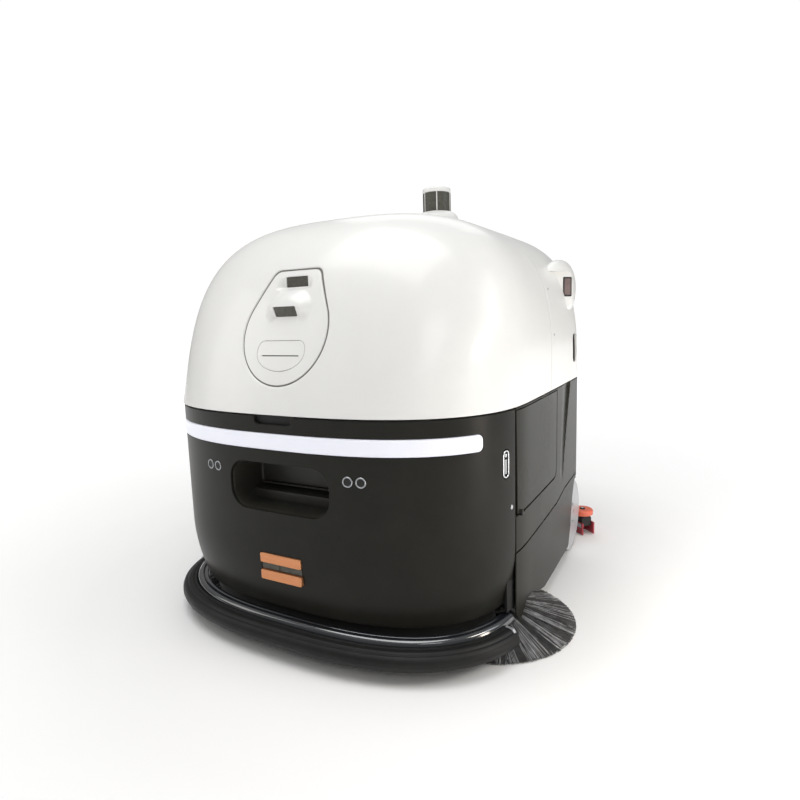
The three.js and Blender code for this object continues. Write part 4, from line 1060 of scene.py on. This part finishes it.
def make_side(name, side):
    """The skirt, the door and the side panel round it, with near-black sheets behind their gaps as painted
    shade.
    """
    start, end = u_at_y(SIDE_EDGE), u_at_y(SIDE_REAR)

    def flat(points):
        return np.array([(u_at_y(y), z) for y, z in points])

    lower = [(SIDE_EDGE, 60), (-212, 51), (-197, 43.5), (-184, 52), (-172, 61.5), (-160, 65), (-145, 65.5),
             (-130, 62.5), (-110, 55.5), (-90, 48.5), (-64, 38.5), (-36, 31.4), (198, 31.4)]
    rear = [(205, 36), (211, 50), (225, 78), (234, 112), (246, 146), (254, 160), (263, 173), (271, 181),
            (281, 187), (SIDE_REAR, 191)]
    top = [(SIDE_REAR, 196), (230, 194.6), (150, 193), (70, 180.8), (-60, 178.0), (SIDE_EDGE, 175)]
    # The skirt, door and side skin take the olive side finish, a painted reflection of the room.
    skirt = panel(flat(lower + rear + top), on_body, 2.6, edge=1.0, spacing=9)
    make(f"{name}_skirt_skin", mirrored(skirt, side), "black_shell", "chassis", [f"{name}_skirt"],
         finish="black_side_painted_reflection")

    door = [(-214.5, 247), (40, 247), (52, 249), (60, 255), (64, 266), (64, 435.9), (-219.0, 435.9)]
    make(f"{name}_door_skin", mirrored(panel(flat(door), on_body, WALL, edge=1.4, spacing=11), side),
         "black_shell", f"{name}_door", [f"{name}_door"], finish="black_side_painted_reflection")
    hook = together(box((364, -203, 241.6), (372.6, -183, 245.6), 1.4, 0.8),
                    box((366, -203, 241.6), (373.4, -197, 252), 1.4, 0.8))
    make(f"{name}_door_hook", mirrored(hook, side), "dark_plastic", f"{name}_door")

    first, last = u_at_y(100), u_at_y(196)

    def crease(uu, z):
        """A facet that sinks towards the rear, wide at the top and closing to nothing at the bottom."""
        share = np.clip((z - 225) / 210, 0, 1)
        begin, end = first + 22 * share, first + 26 + (last - first - 26) * share ** 1.3
        ramp = np.clip((uu - begin) / (end - begin), 0, 1)
        step = np.clip((uu - end) / 5, 0, 1)
        return (1.2 + 4.4 * share) * smooth((z - 214) / 30) * np.where(uu < end, ramp, 1 - step)

    def creased(uu, z, depth):
        return on_body(uu, z, depth + crease(uu, z))

    around = [(SIDE_EDGE, 177.5), (-60, 180.5), (70, 183.3), (150, 195.5), (230, 197.1), (SIDE_REAR, 198.5),
              (SIDE_REAR, 440.1), (SIDE_EDGE, 440.1), (SIDE_EDGE, 436.8), (66.5, 436.8), (66.5, 266),
              (61.7, 253), (52.6, 246.6), (40, 244.5), (SIDE_EDGE, 244.5)]
    shape = panel(flat(around), creased, WALL, edge=1.2, spacing=5)
    make(f"{name}_side_skin", mirrored(shape, side), "black_shell", "chassis", [f"{name}_side_panel"],
         finish="black_side_painted_reflection")
    # Near-black strips behind the side's gaps: painted shade.
    path = body_path(start, end, 40)
    groove = together(
        swept(path, [(-13, 418), (-7, 418), (-7, 440.4), (-13, 440.4)]),
        swept(path, [(-10, 168), (-7, 168), (-7, 204), (-10, 204)]),
        swept(body_path(start - 6, u_at_y(80), 30), [(-11, 236), (-7.4, 236), (-7.4, 436), (-11, 436)]),
    )
    shade_sheet(f"{name}_side_backing", mirrored(groove, side))
    post = swept(body_path(start - 22, start + 10, 6), [(-12, 70), (-7.2, 70), (-7.2, 438), (-12, 438)])
    shade_sheet(f"{name}_front_post", mirrored(post, side))


def make_rear_panel():
    """One sheet round the back from side to side, with vent slots and a service cover."""
    first, end = u_at_y(REAR_EDGE), ARC[-1]

    def wrap(u, z, depth):
        return on_body(np.where(u > end, u - 2 * end, u), z, depth)

    last = 2 * end - first
    outline = np.array([(first, 176), (last, 176), (last, DOME_SEAM), (first, DOME_SEAM)])
    slots = [(rounded_rect(end - 90, z, end + 90, z + 6, 3, 4), 0.6) for z in range(300, 388, 14)]
    plate = (rounded_rect(end - 60, 206, end + 60, 262, 8, 5), 0.8)
    make("rear_skin_lower", panel(outline, wrap, WALL, [*slots, plate], edge=1.4, spacing=12), "black_shell",
         "chassis", ["rear_panel"])
    shade_sheet("rear_backing", slab("y", rounded_rect(-110, 196, 110, 400, 8), 326, 333, 1))
    cover = slab("y", rounded_rect(-58.6, 207.4, 58.6, 260.6, 7), 333, 341, 1.2)
    bolts = [turned([(0, 1.4), (3, 1.2), (4, 0), (4, -3), (0, -3)], (x, 341, z), "y", 20)
             for x in (-48, 48) for z in (216, 252)]
    make("rear_service_cover", cover, "dark_plastic", "chassis")
    make("rear_service_bolts", together(*bolts), "frame_steel", "chassis")


# ---------------------------------------------------------------- bumper


def make_bumper():
    """The rubber bumper, the gloss rail on top of it, and a clip, cap and arm at each end."""
    path = nose_path(BUMPER, -270, 110)
    profile = soften([
        (-30, 27), (-27, 24), (-10, 24.2), (-2.6, 30), (0, 38), (-0.4, 44), (-3.2, 50), (-8, 54),
        (-9.4, 53.2), (-10.6, 54.4), (-14, 57.6), (-22, 59), (-24, 56.6), (-26.4, 58.6), (-30, 58)], 1.6, 2)
    make("bumper_rubber", swept(path, profile), "rubber", "bumper", ["bumper"], sharp=50)
    rail = soften([
        (-30.5, 47.2), (-30.5, 56), (-33, 62.6), (-38, 66), (-43.5, 65.6), (-46.4, 62.4), (-49, 64.6),
        (-53, 64.8), (-55.6, 62), (-55.6, 47.2)], 2.2, 4)
    make("bumper_gloss_rail", swept(nose_path(BUMPER, -237, 110), rail), "gloss_black", "bumper",
         ["bumper_rail"], sharp=50)
    end, before = path[-1], path[-4]
    clip_rows = np.array([before + (end - before) * t for t in (0.55, 1.0)])
    clip_rows[:, 2:] = unit(clip_rows[:, 2:])
    clip = swept(clip_rows, soften([(-27.5, 52), (-7, 50), (-2.0, 44), (-1.2, 38), (-0.4, 38), (-1.0, 45),
                                    (-6.4, 52.2), (-12, 58.4), (-27.5, 59)], 0.8, 2))
    cap = swept([end, end + (0.0, 4.0, 0.0, 0.0)],
                soften([(-29, 28), (-10, 26), (-2.6, 32), (-1, 40), (-4, 50), (-12, 56), (-29, 57)], 3, 3))
    arm = box((344, -300, 46), (352, -262, 58), 2, 0.8)
    for name, side in SIDES:
        make(f"{name}_bumper_clip", mirrored(clip, side), "silver_plastic", "bumper")
        make(f"{name}_bumper_cap", mirrored(cap, side), "dark_plastic", "bumper")
        make(f"{name}_bumper_arm", mirrored(arm, side), "dark_plastic", "bumper")


# ---------------------------------------------------------------- side brushes


def strands(starts, ends, radii, upright, sides, levels, sag, turn=0.0):
    """Thin tapered filaments from starts to ends with a number of sides, bowed upwards by sag."""
    along = unit(ends - starts)
    across = unit(np.cross(along, upright))
    over = np.cross(across, along)
    size = sides * len(levels)
    points = np.zeros((len(starts), size, 3))
    for k, t in enumerate(levels):
        centre = starts + (ends - starts) * t + over * (4 * sag * t * (1 - t))[:, None]
        radius = radii[0] + (radii[1] - radii[0]) * t
        for j in range(sides):
            a = 2 * math.pi * j / sides + turn
            points[:, sides * k + j] = centre + radius * (math.cos(a) * across + math.sin(a) * over)
    one = loft(points[0].reshape(len(levels), sides, 3))[1]
    faces = [tuple(i + size * n for i in face) for n in range(len(starts)) for face in one]
    return points.reshape(-1, 3), faces


def brush_filaments(tufts, each, spread, low):
    """Tufts of bristles from the brush's plate out to its rim, seen from above as straight bundles."""
    starts, ends, bows = [], [], []
    root = 38
    for tuft in range(tufts):
        angle = 2 * math.pi * (tuft + 0.5 * rng.random()) / tufts
        lean = rng.normal(0, 0.05)
        for _ in range(each):
            a0 = angle + rng.normal(0, 0.012)
            a1 = angle + lean + rng.normal(0, spread)
            r0 = rng.uniform(root, 50)
            r1 = BRUSH_RADIUS - abs(rng.normal(0, 2.2)) - 0.4
            z0 = 36 - 0.1 * (r0 - root) + rng.uniform(-6, 2.4) - low
            z1 = rng.uniform(0.6, 1.4) + (1 - r1 / BRUSH_RADIUS) * 60
            z1 += (rng.random() ** 2) * (3.0 - 0.8 * low)
            starts.append((r0 * math.cos(a0), r0 * math.sin(a0), z0))
            ends.append((r1 * math.cos(a1), r1 * math.sin(a1), max(z1, 0.6)))
            bows.append(rng.uniform(-0.4, 1.6))
    return strands(np.array(starts) + BRUSH_CENTRE, np.array(ends) + BRUSH_CENTRE, (0.62, 0.40),
                   (0, 0, 1.0), 3, (0.0, 0.35, 0.7, 1.0), np.array(bows), turn=0.5)


def make_side_brushes():
    """Each brush: a cone of bristle, dark filaments over it with pale ones among them as painted highlights,
    a ribbed hub and its motor.
    """
    dark = brush_filaments(46, 44, 0.058, 1.5)
    # Pale filaments among the dark ones: painted highlights.
    light = brush_filaments(46, 9, 0.060, 0.0)
    x, y, _ = BRUSH_CENTRE
    cone = turned([(0, 30), (36, 31), (60, 26), (100, 16), (140, 6.6), (160, 1.6), (160, 1.0), (134, 3),
                   (90, 12), (50, 20), (36, 21), (0, 21)], BRUSH_CENTRE, "z", 96)
    plate = soften([(0, 28), (44, 28), (50, 33), (50, 38), (44, 42), (30, 48), (24, 53), (0, 53)], 2, 3,
                   False)
    rib, rib_faces = box((26, -1.5, 40), (47, 1.5, 44.5), 0.8, 0.4)
    ribs = []
    for k in range(8):
        c, s = math.cos(k * math.pi / 4), math.sin(k * math.pi / 4)
        rib_x = c * rib[:, 0] - s * rib[:, 1] + x
        rib_y = s * rib[:, 0] + c * rib[:, 1] + y
        ribs.append((np.stack([rib_x, rib_y, rib[:, 2]], 1), rib_faces))
    hub = together(turned(plate, BRUSH_CENTRE, "z", 56), *ribs)
    can = soften([(0, 57.2), (26, 57.2), (26, 64), (33, 68), (33, 118), (30, 124), (18, 127), (0, 127)], 2, 3,
                 False)
    fins = [turned([(32, z), (34.2, z), (34.2, z + 2), (32, z + 2)], BRUSH_CENTRE, "z", 48, ring=True)
            for z in range(74, 114, 7)]
    arm = box((x - 20, y, 112), (x + 20, -62, 126), 6, 2)
    motor = together(turned(can, BRUSH_CENTRE, "z", 56), arm, *fins)
    for name, side in SIDES:
        body = f"{name}_side_brush"
        make(f"{name}_brush_core", mirrored(cone, side), "bristle", body, [body])
        make(f"{name}_brush_filaments", mirrored(dark, side), "bristle", body, soft=False, sharp=180)
        make(f"{name}_brush_painted_highlights", mirrored(light, side), "bristle", body, soft=False, sharp=180,
             finish="bristle_painted_highlight")
        make(f"{name}_brush_hub", mirrored(hub, side), "dark_plastic", body)
        make(f"{name}_brush_motor", mirrored(motor, side), "dark_plastic", f"{name}_brush_lift",
             [f"{name}_side_brush_motor"])


# ---------------------------------------------------------------- wheels


def make_drive_wheel(name, side):
    """A treaded tyre, its silver cover with six bolts, and the motor inboard of it."""
    x0, x1 = 318.0, 357.8
    centre = (0.0, WHEEL_Y, WHEEL_R)
    tread = soften([(x0 + 1, 68), (x0 + 1, 84), (x0 + 6, 90.4), (x0 + 12, 91.4), (x1 - 10, 91.4),
                    (x1 - 4, 90.4), (x1, 86), (x1, 68)], 3, 3)
    tyre = turned([(r, h) for h, r in tread], centre, "x", 96, ring=True)
    lug, lug_faces = box((-9, -4.2, 88.4), (9, 4.2, 91.9), 1.5, 0.6)
    lugs = []
    for k in range(72):
        c, s = math.cos(math.pi * k / 36), math.sin(math.pi * k / 36)
        x = lug[:, 0] + (x0 + 11 if k % 2 else x1 - 11)
        y = WHEEL_Y + c * lug[:, 1] + s * lug[:, 2]
        z = WHEEL_R - s * lug[:, 1] + c * lug[:, 2]
        lugs.append((np.stack([x, y, z], 1), lug_faces))
    make(f"{name}_tyre_tread", mirrored(together(tyre, *lugs), side), "tyre", f"{name}_wheel",
         [f"{name}_tyre"])
    face = soften([(0, 363.6), (14, 363.6), (17, 361.6), (40, 362.0), (66, 363.0), (74, 363.7), (78, 363.7),
                   (80, 362.4), (83, 362.4), (84.6, 363.7), (87, 363.2), (88, 361.6), (88, 358.3),
                   (60, 358.2), (60, 340), (65.4, 338), (65.4, 321), (0, 321)], 1.2, 3, False)
    make(f"{name}_wheel_cover", mirrored(turned(face, centre, "x", 120), side), "silver_plastic",
         f"{name}_wheel", [f"{name}_wheel_hub"])
    bolts = []
    for k in range(6):
        a = k * math.pi / 3
        spot = (0.0, WHEEL_Y + 27 * math.cos(a), WHEEL_R + 27 * math.sin(a))
        bolts.append(turned([(0, 363.6), (3.4, 363.6), (4.2, 362.8), (4.2, 359), (0, 359)], spot, "x", 6))
    make(f"{name}_wheel_bolts", mirrored(together(*bolts), side), "frame_steel", f"{name}_wheel")
    can = soften([(0, 247.5), (32, 247.5), (37.6, 252), (37.6, 312), (33, 316.6), (0, 316.6)], 3, 3, False)
    bands = [turned([(37, x), (38, x), (38, x + 3), (37, x + 3)], centre, "x", 48, ring=True)
             for x in (258, 282, 304)]
    mount = box((252, WHEEL_Y - 29, 92), (304, WHEEL_Y + 29, 149.2), 4, 1.2)
    make(f"{name}_motor_can", mirrored(together(turned(can, centre, "x", 56), mount, *bands), side),
         "frame_steel", "chassis", [f"{name}_drive_motor"])


def make_caster(name, side):
    """A swivelling fork with its stem, axle, nuts and race, and the wheel in it."""
    centre = (0.0, -264.0, 42.0)
    tread = soften([(82.5, 26), (82.5, 37), (86, 41.6), (104, 41.6), (107.5, 37), (107.5, 26)], 3, 3)
    tyre = turned([(r, x) for x, r in tread], centre, "x", 64, ring=True)
    make(f"{name}_caster_tyre", mirrored(tyre, side), "rubber", f"{name}_caster_wheel",
         [f"{name}_caster_wheel"])
    core = soften([(5.6, 83), (12, 83), (14, 85), (22, 86.5), (26.5, 84), (26.5, 106), (22, 103.5), (14, 105),
                   (12, 107), (5.6, 107)], 1, 2)
    make(f"{name}_caster_core", mirrored(turned(core, centre, "x", 48, ring=True), side), "silver_plastic",
         f"{name}_caster_wheel")
    cheek = soften([(-276, 30), (-252, 30), (-249, 60), (-250, 99.6), (-306, 99.6), (-306, 86)], 8, 4)
    cheeks = [slab("x", cheek, x, x + 4, 0.8) for x in (76.0, 110.0)]
    head = box((76, -306, 94), (114, -250, 102), 5, 1.4)
    stem = turned([(0, 100), (13.6, 100), (13.6, 143), (0, 143)], (95, -286, 0), "z", 32)
    axle = turned([(0, 73.6), (5, 73.6), (5, 116.4), (0, 116.4)], centre, "x", 20)
    nuts = [turned([(0, x), (7, x), (7, x + 3.2), (0, x + 3.2)], centre, "x", 6) for x in (72.8, 114)]
    race = turned([(15, 102.4), (21, 102.4), (21, 109), (15, 109)], (95, -286, 0), "z", 40, ring=True)
    fork = together(head, stem, axle, race, *cheeks, *nuts)
    make(f"{name}_caster_frame", mirrored(fork, side), "frame_steel", f"{name}_caster",
         [f"{name}_caster_fork"])


# ---------------------------------------------------------------- squeegee


def squeegee_path(inset, end_angle=0.785, steps=18):
    """Straight across the middle, then curved forwards at both ends."""
    radius = SQUEEGEE_CURVE - inset
    a = np.linspace(end_angle, 0, steps)
    centre_y = SQUEEGEE_REAR - SQUEEGEE_CURVE
    turn = np.stack([SQUEEGEE_FLAT + radius * np.sin(a), centre_y + radius * np.cos(a),
                     np.sin(a), np.cos(a)], 1)
    flat_x = np.linspace(SQUEEGEE_FLAT, -SQUEEGEE_FLAT, 18)[1:-1]
    middle = np.array([[x, SQUEEGEE_REAR - inset, 0, 1] for x in flat_x])
    other = turn[::-1] * (-1, 1, -1, 1)
    return np.concatenate([turn, middle, other])


def make_squeegee():
    """Two blades, the channel that holds them with its knobs and hose neck, a clamp strip and two rollers."""
    blade = [(-3.8, 33.6), (-3.8, 3.4), (-3.0, 1.2), (-0.9, 1.2), (-0.1, 3), (-0.1, 33.6)]
    for name, inset in (("rear_blade", 0), ("front_blade", 34)):
        make(f"{name}_strip", swept(squeegee_path(inset), blade), "blade_red", "squeegee",
             [f"squeegee_{name}"])
    bar = soften([(-33.4, 23), (-4.6, 23), (-4.6, 46), (-8, 49.8), (-30, 49.8), (-33.4, 46)], 2.0, 3)
    channel = swept(squeegee_path(0, 0.75), bar)
    knobs = [turned([(0, 49), (5, 49), (9, 50.4), (9.6, 58), (8.6, 62), (0, 63)],
                    (x, SQUEEGEE_REAR - 19, 0), "z", 12) for x in (-220, -110, 110, 220)]
    block = box((-59.5, 331, 46.4), (59.5, 445.5, 59.8), 8, 2)
    neck = loft([onto("z", soften([(-28 + i, 272.4 + i), (28 - i, 272.4 + i), (28 - i, 349.6 - i),
                                   (-28 + i, 349.6 - i)], 12 + i, 5), z)
                 for i, z in ((0, 46.6), (0, 84), (0.6, 94), (3, 101), (6, 104.4))])
    stems = [turned([(0, 46), (6.8, 46), (6.8, 72), (5.6, 73.6), (0, 73.6)], (s * ROLLER[0], ROLLER[1], 0),
                    "z", 24) for s in (-1, 1)]
    make("squeegee_bar", together(channel, block, neck, *knobs, *stems), "dark_plastic", "squeegee",
         ["squeegee_frame"])
    clamp = soften([(-37.9, 20), (-36.9, 20), (-36.9, 31), (-37.9, 31)], 0.3, 1)
    make("squeegee_clamp", swept(squeegee_path(0, 0.76), clamp), "silver_plastic", "squeegee")
    for name, side in SIDES:
        roll = soften([(7.6, 55.4), (25, 55.4), (28, 58), (28, 68), (25, 70.8), (7.6, 70.8)], 1.8, 3)
        wheel = turned(roll, ROLLER, "z", 64, ring=True)
        make(f"{name}_guide_roller", mirrored(wheel, side), "roller_red", f"{name}_squeegee_roller",
             [f"{name}_squeegee_roller"])
        screw = turned([(0, 73.9), (4, 73.7), (6.2, 72.6), (6.4, 71.2), (0, 71.2)], ROLLER, "z", 6)
        make(f"{name}_roller_screw", mirrored(screw, side), "chrome", "squeegee")


def make_hose():
    """A ribbed suction hose."""
    bottom, top, pitch = 105.2, 299.6, 6.0
    profile = [(13, bottom + 0.2)]
    z = bottom
    while z + pitch <= top:
        profile += [(18.2, z), (20.8, z + 1.4), (20.8, z + 3.2), (18.2, z + 4.6)]
        z += pitch
    profile += [(18.4, top), (13, top)]
    hose = turned(profile, (0, HOSE_Y, 0), "z", 40)
    obj = make("ribbed_hose", hose, "rubber", "chassis", ["suction_hose"], sharp=40)
    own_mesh(obj)


# ---------------------------------------------------------------- inside


def make_scrub_brush(name, y, phase):
    """A roller with tufted rows wound round its core."""
    axle_z, core_reach, tuft_reach = 54, 40, 51.7
    rows, row_tufts = 30, 74
    core = turned([(8, -227), (40, -227), (42, -225), (42, 225), (40, 227), (8, 227)], (0, y, axle_z), "x",
                  40, ring=True)
    starts, ends = [], []
    for row in range(rows):
        for step in range(row_tufts):
            x = -224 + 448 * step / (row_tufts - 1)
            a = 2 * math.pi * row / rows + x * 0.006 * phase
            b = a + rng.normal(0, 0.018)
            starts.append((x, y + core_reach * math.cos(a), axle_z + core_reach * math.sin(a)))
            ends.append((x + rng.normal(0, 0.6), y + tuft_reach * math.cos(b),
                         axle_z + tuft_reach * math.sin(b)))
    tufts = strands(np.array(starts), np.array(ends), (2.1, 2.4), (1.0, 0, 0), 5, (0, 1),
                    np.zeros(len(starts)))
    make(f"{name}_core", core, "dark_plastic", name, [name])
    make(f"{name}_tufts", tufts, "bristle", name, soft=False)


def finish_cad_node(node, key, bevel):
    """Keeps a CAD node, with rounded edges and a better material."""
    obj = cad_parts[node]
    obj.data.materials.clear()
    obj.data.materials.append(MATERIALS[key])
    for face in obj.data.polygons:
        face.material_index = 0
    rounding = obj.modifiers.new("rounding", "BEVEL")
    rounding.width, rounding.segments = bevel * MM, 2
    rounding.limit_method, rounding.angle_limit = "ANGLE", math.radians(40)
    obj.modifiers.new("weighted", "WEIGHTED_NORMAL").keep_sharp = True


def make_inside():
    """The units inside the body, the scrub brushes, and small fittings on the units."""
    for node, key, bevel in (
            ("chassis_frame", "frame_steel", 1.0), ("scrub_deck", "frame_steel", 1.5),
            ("hinge_frame", "frame_steel", 1.0), ("battery_pack", "battery_case", 4.0),
            ("solution_tank", "tank_plastic", 12.0), ("recovery_tank", "tank_plastic", 5.0),
            ("recovery_tank_lid", "dark_plastic", 3.0), ("controller_box", "control_case", 3.0),
            ("vacuum_motor", "dark_plastic", 5.0)):
        finish_cad_node(node, key, bevel)
    for name, y, phase in (("front_scrub_brush", 74.0, 1.0), ("rear_scrub_brush", 186.0, -1.0)):
        make_scrub_brush(name, y, phase)
    fins = [box((46, y, 330.2), (244, y + 3, 338), 1, 0.4) for y in range(110, 272, 12)]
    make("controller_fins", together(*fins), "frame_steel", "chassis")
    straps = [box((x - 12, -336.5, 158.6), (x + 12, -163.5, 264.5), 3, 1.0, axis="x") for x in (-110, 110)]
    make("battery_straps", together(*straps), "rubber", "chassis")
    make("battery_plug", box((-40, -262, 262), (40, -222, 276), 4, 1.6), "roller_red", "chassis")
    knob = soften([(0, 662), (30, 662), (34, 666), (34, 674), (30, 678), (0, 678)], 2, 3, False)
    make("tank_lid_knob", turned(knob, (0, -145, 0), "z", 24), "dark_plastic", "chassis")


# ---------------------------------------------------------------- build everything

make_dome()
make_front()
for side_name, side_sign in SIDES:
    make_side(side_name, side_sign)
    make_drive_wheel(side_name, side_sign)
    make_caster(side_name, side_sign)
make_rear_panel()
make_bumper()
make_side_brushes()
make_squeegee()
make_hose()
make_inside()

# ---------------------------------------------------------------- stage, light and camera


def make_stage():
    """A plain pale floor that grows brighter away from the machine, to meet the pale surroundings."""
    mesh = bpy.data.meshes.new("floor")
    work = bmesh.new()
    bmesh.ops.create_grid(work, x_segments=24, y_segments=24, size=14.0)
    for vert in work.verts:
        vert.co.z = -0.0005
    work.to_mesh(mesh)
    work.free()
    floor = bpy.data.objects.new("floor", mesh)
    bpy.context.scene.collection.objects.link(floor)
    paper = material("stage_paper", (0.93, 0.93, 0.925), 0.85, vary=0.004, scale=2, grain=0.02, specular=0.2)
    nodes, links = paper.node_tree.nodes, paper.node_tree.links
    place = nodes.new("ShaderNodeTexCoord")
    reach = nodes.new("ShaderNodeVectorMath")
    reach.operation = "LENGTH"
    links.new(place.outputs["Object"], reach.inputs[0])
    glow = preset(nodes.new("ShaderNodeMapRange"), From_Min=0.7, From_Max=3.6, To_Max=0.75)
    links.new(reach.outputs["Value"], glow.inputs["Value"])
    shader = preset(nodes["Principled BSDF"], Emission_Color=(1, 1, 1, 1))
    links.new(glow.outputs["Result"], shader.inputs["Emission Strength"])
    mesh.materials.append(paper)


def lamp(name, place, target, size, power, colour=(1, 1, 1)):
    """A rectangular lamp that points at a target and doesn't show itself to the camera."""
    data = bpy.data.lights.new(name, "AREA")
    data.shape, data.size, data.size_y = "RECTANGLE", size[0], size[1]
    data.energy, data.color = power, colour
    obj = bpy.data.objects.new(name, data)
    obj.location = place
    obj.rotation_euler = (Vector(target) - Vector(place)).to_track_quat("-Z", "Y").to_euler()
    obj.visible_camera = False
    bpy.context.scene.collection.objects.link(obj)


def make_lights():
    """A soft dim room that looks white to the camera, and large soft lamps."""
    world = bpy.data.worlds.new("studio")
    world.use_nodes = True
    nodes, links = world.node_tree.nodes, world.node_tree.links
    room = nodes["Background"]
    place = nodes.new("ShaderNodeTexCoord")
    split = nodes.new("ShaderNodeSeparateXYZ")
    links.new(place.outputs["Generated"], split.inputs["Vector"])
    ramp = nodes.new("ShaderNodeValToRGB")
    stops = ramp.color_ramp.elements
    stops[0].position, stops[0].color = 0.0, (0.34, 0.335, 0.32, 1)
    stops[1].position, stops[1].color = 0.85, (1.0, 1.0, 1.0, 1)
    links.new(split.outputs["Z"], ramp.inputs["Fac"])
    links.new(ramp.outputs["Color"], room.inputs["Color"])
    preset(room, Strength=0.46)
    seen = preset(nodes.new("ShaderNodeBackground"), Color=(1, 1, 1, 1), Strength=1.02)
    path = nodes.new("ShaderNodeLightPath")
    mix = nodes.new("ShaderNodeMixShader")
    links.new(path.outputs["Is Camera Ray"], mix.inputs["Fac"])
    links.new(room.outputs["Background"], mix.inputs[1])
    links.new(seen.outputs["Background"], mix.inputs[2])
    links.new(mix.outputs["Shader"], nodes["World Output"].inputs["Surface"])
    bpy.context.scene.world = world
    lamp("top_soft", (-0.2, -0.7, 3.3), (0, -0.1, 0.4), (2.6, 2.0), 58)
    lamp("key", (2.0, -2.6, 2.3), (0, 0, 0.5), (1.1, 0.9), 9)
    lamp("window", (2.5, 0.5, 1.75), (0.33, -0.25, 0.63), (1.0, 1.3), 11, (0.88, 0.94, 1.0))
    lamp("low_strip", (1.9, -0.2, 0.22), (0.33, -0.31, 0.25), (0.3, 0.4), 4, (1.0, 0.90, 0.80))
    lamp("floor_glow", (1.3, -0.25, 0.8), (1.3, -0.25, 0), (0.4, 0.4), 7, (1.0, 0.93, 0.86))
    lamp("fill", (-2.8, -2.0, 1.8), (0, 0, 0.4), (1.6, 2.0), 16, (1.0, 0.985, 0.96))
    lamp("rim", (-0.8, 2.4, 2.9), (0, 0, 0.6), (2.4, 1.4), 10)
    bpy.context.scene.view_settings.view_transform = "Standard"


def make_camera():
    """A camera in front of the machine's left corner, a little above its middle."""
    place = Vector((0.6615, -1.1757, 0.6002))
    yaw, pitch, roll = math.radians(28.698), math.radians(8.119), math.radians(-1.754)
    ahead = Vector((-math.sin(yaw) * math.cos(pitch), math.cos(yaw) * math.cos(pitch), -math.sin(pitch)))
    level = Vector((math.cos(yaw), math.sin(yaw), 0))
    upright = level.cross(ahead)
    right = math.cos(roll) * level + math.sin(roll) * upright
    up = -math.sin(roll) * level + math.cos(roll) * upright
    data = bpy.data.cameras.new("camera")
    data.lens, data.sensor_width = 25.83, 36.0
    data.clip_start, data.clip_end = 0.02, 60
    obj = bpy.data.objects.new("camera", data)
    turn = Matrix((right, up, -ahead)).transposed()
    obj.matrix_world = Matrix.Translation(place) @ turn.to_4x4()
    bpy.context.scene.collection.objects.link(obj)
    bpy.context.scene.camera = obj


make_stage()
make_lights()
make_camera()
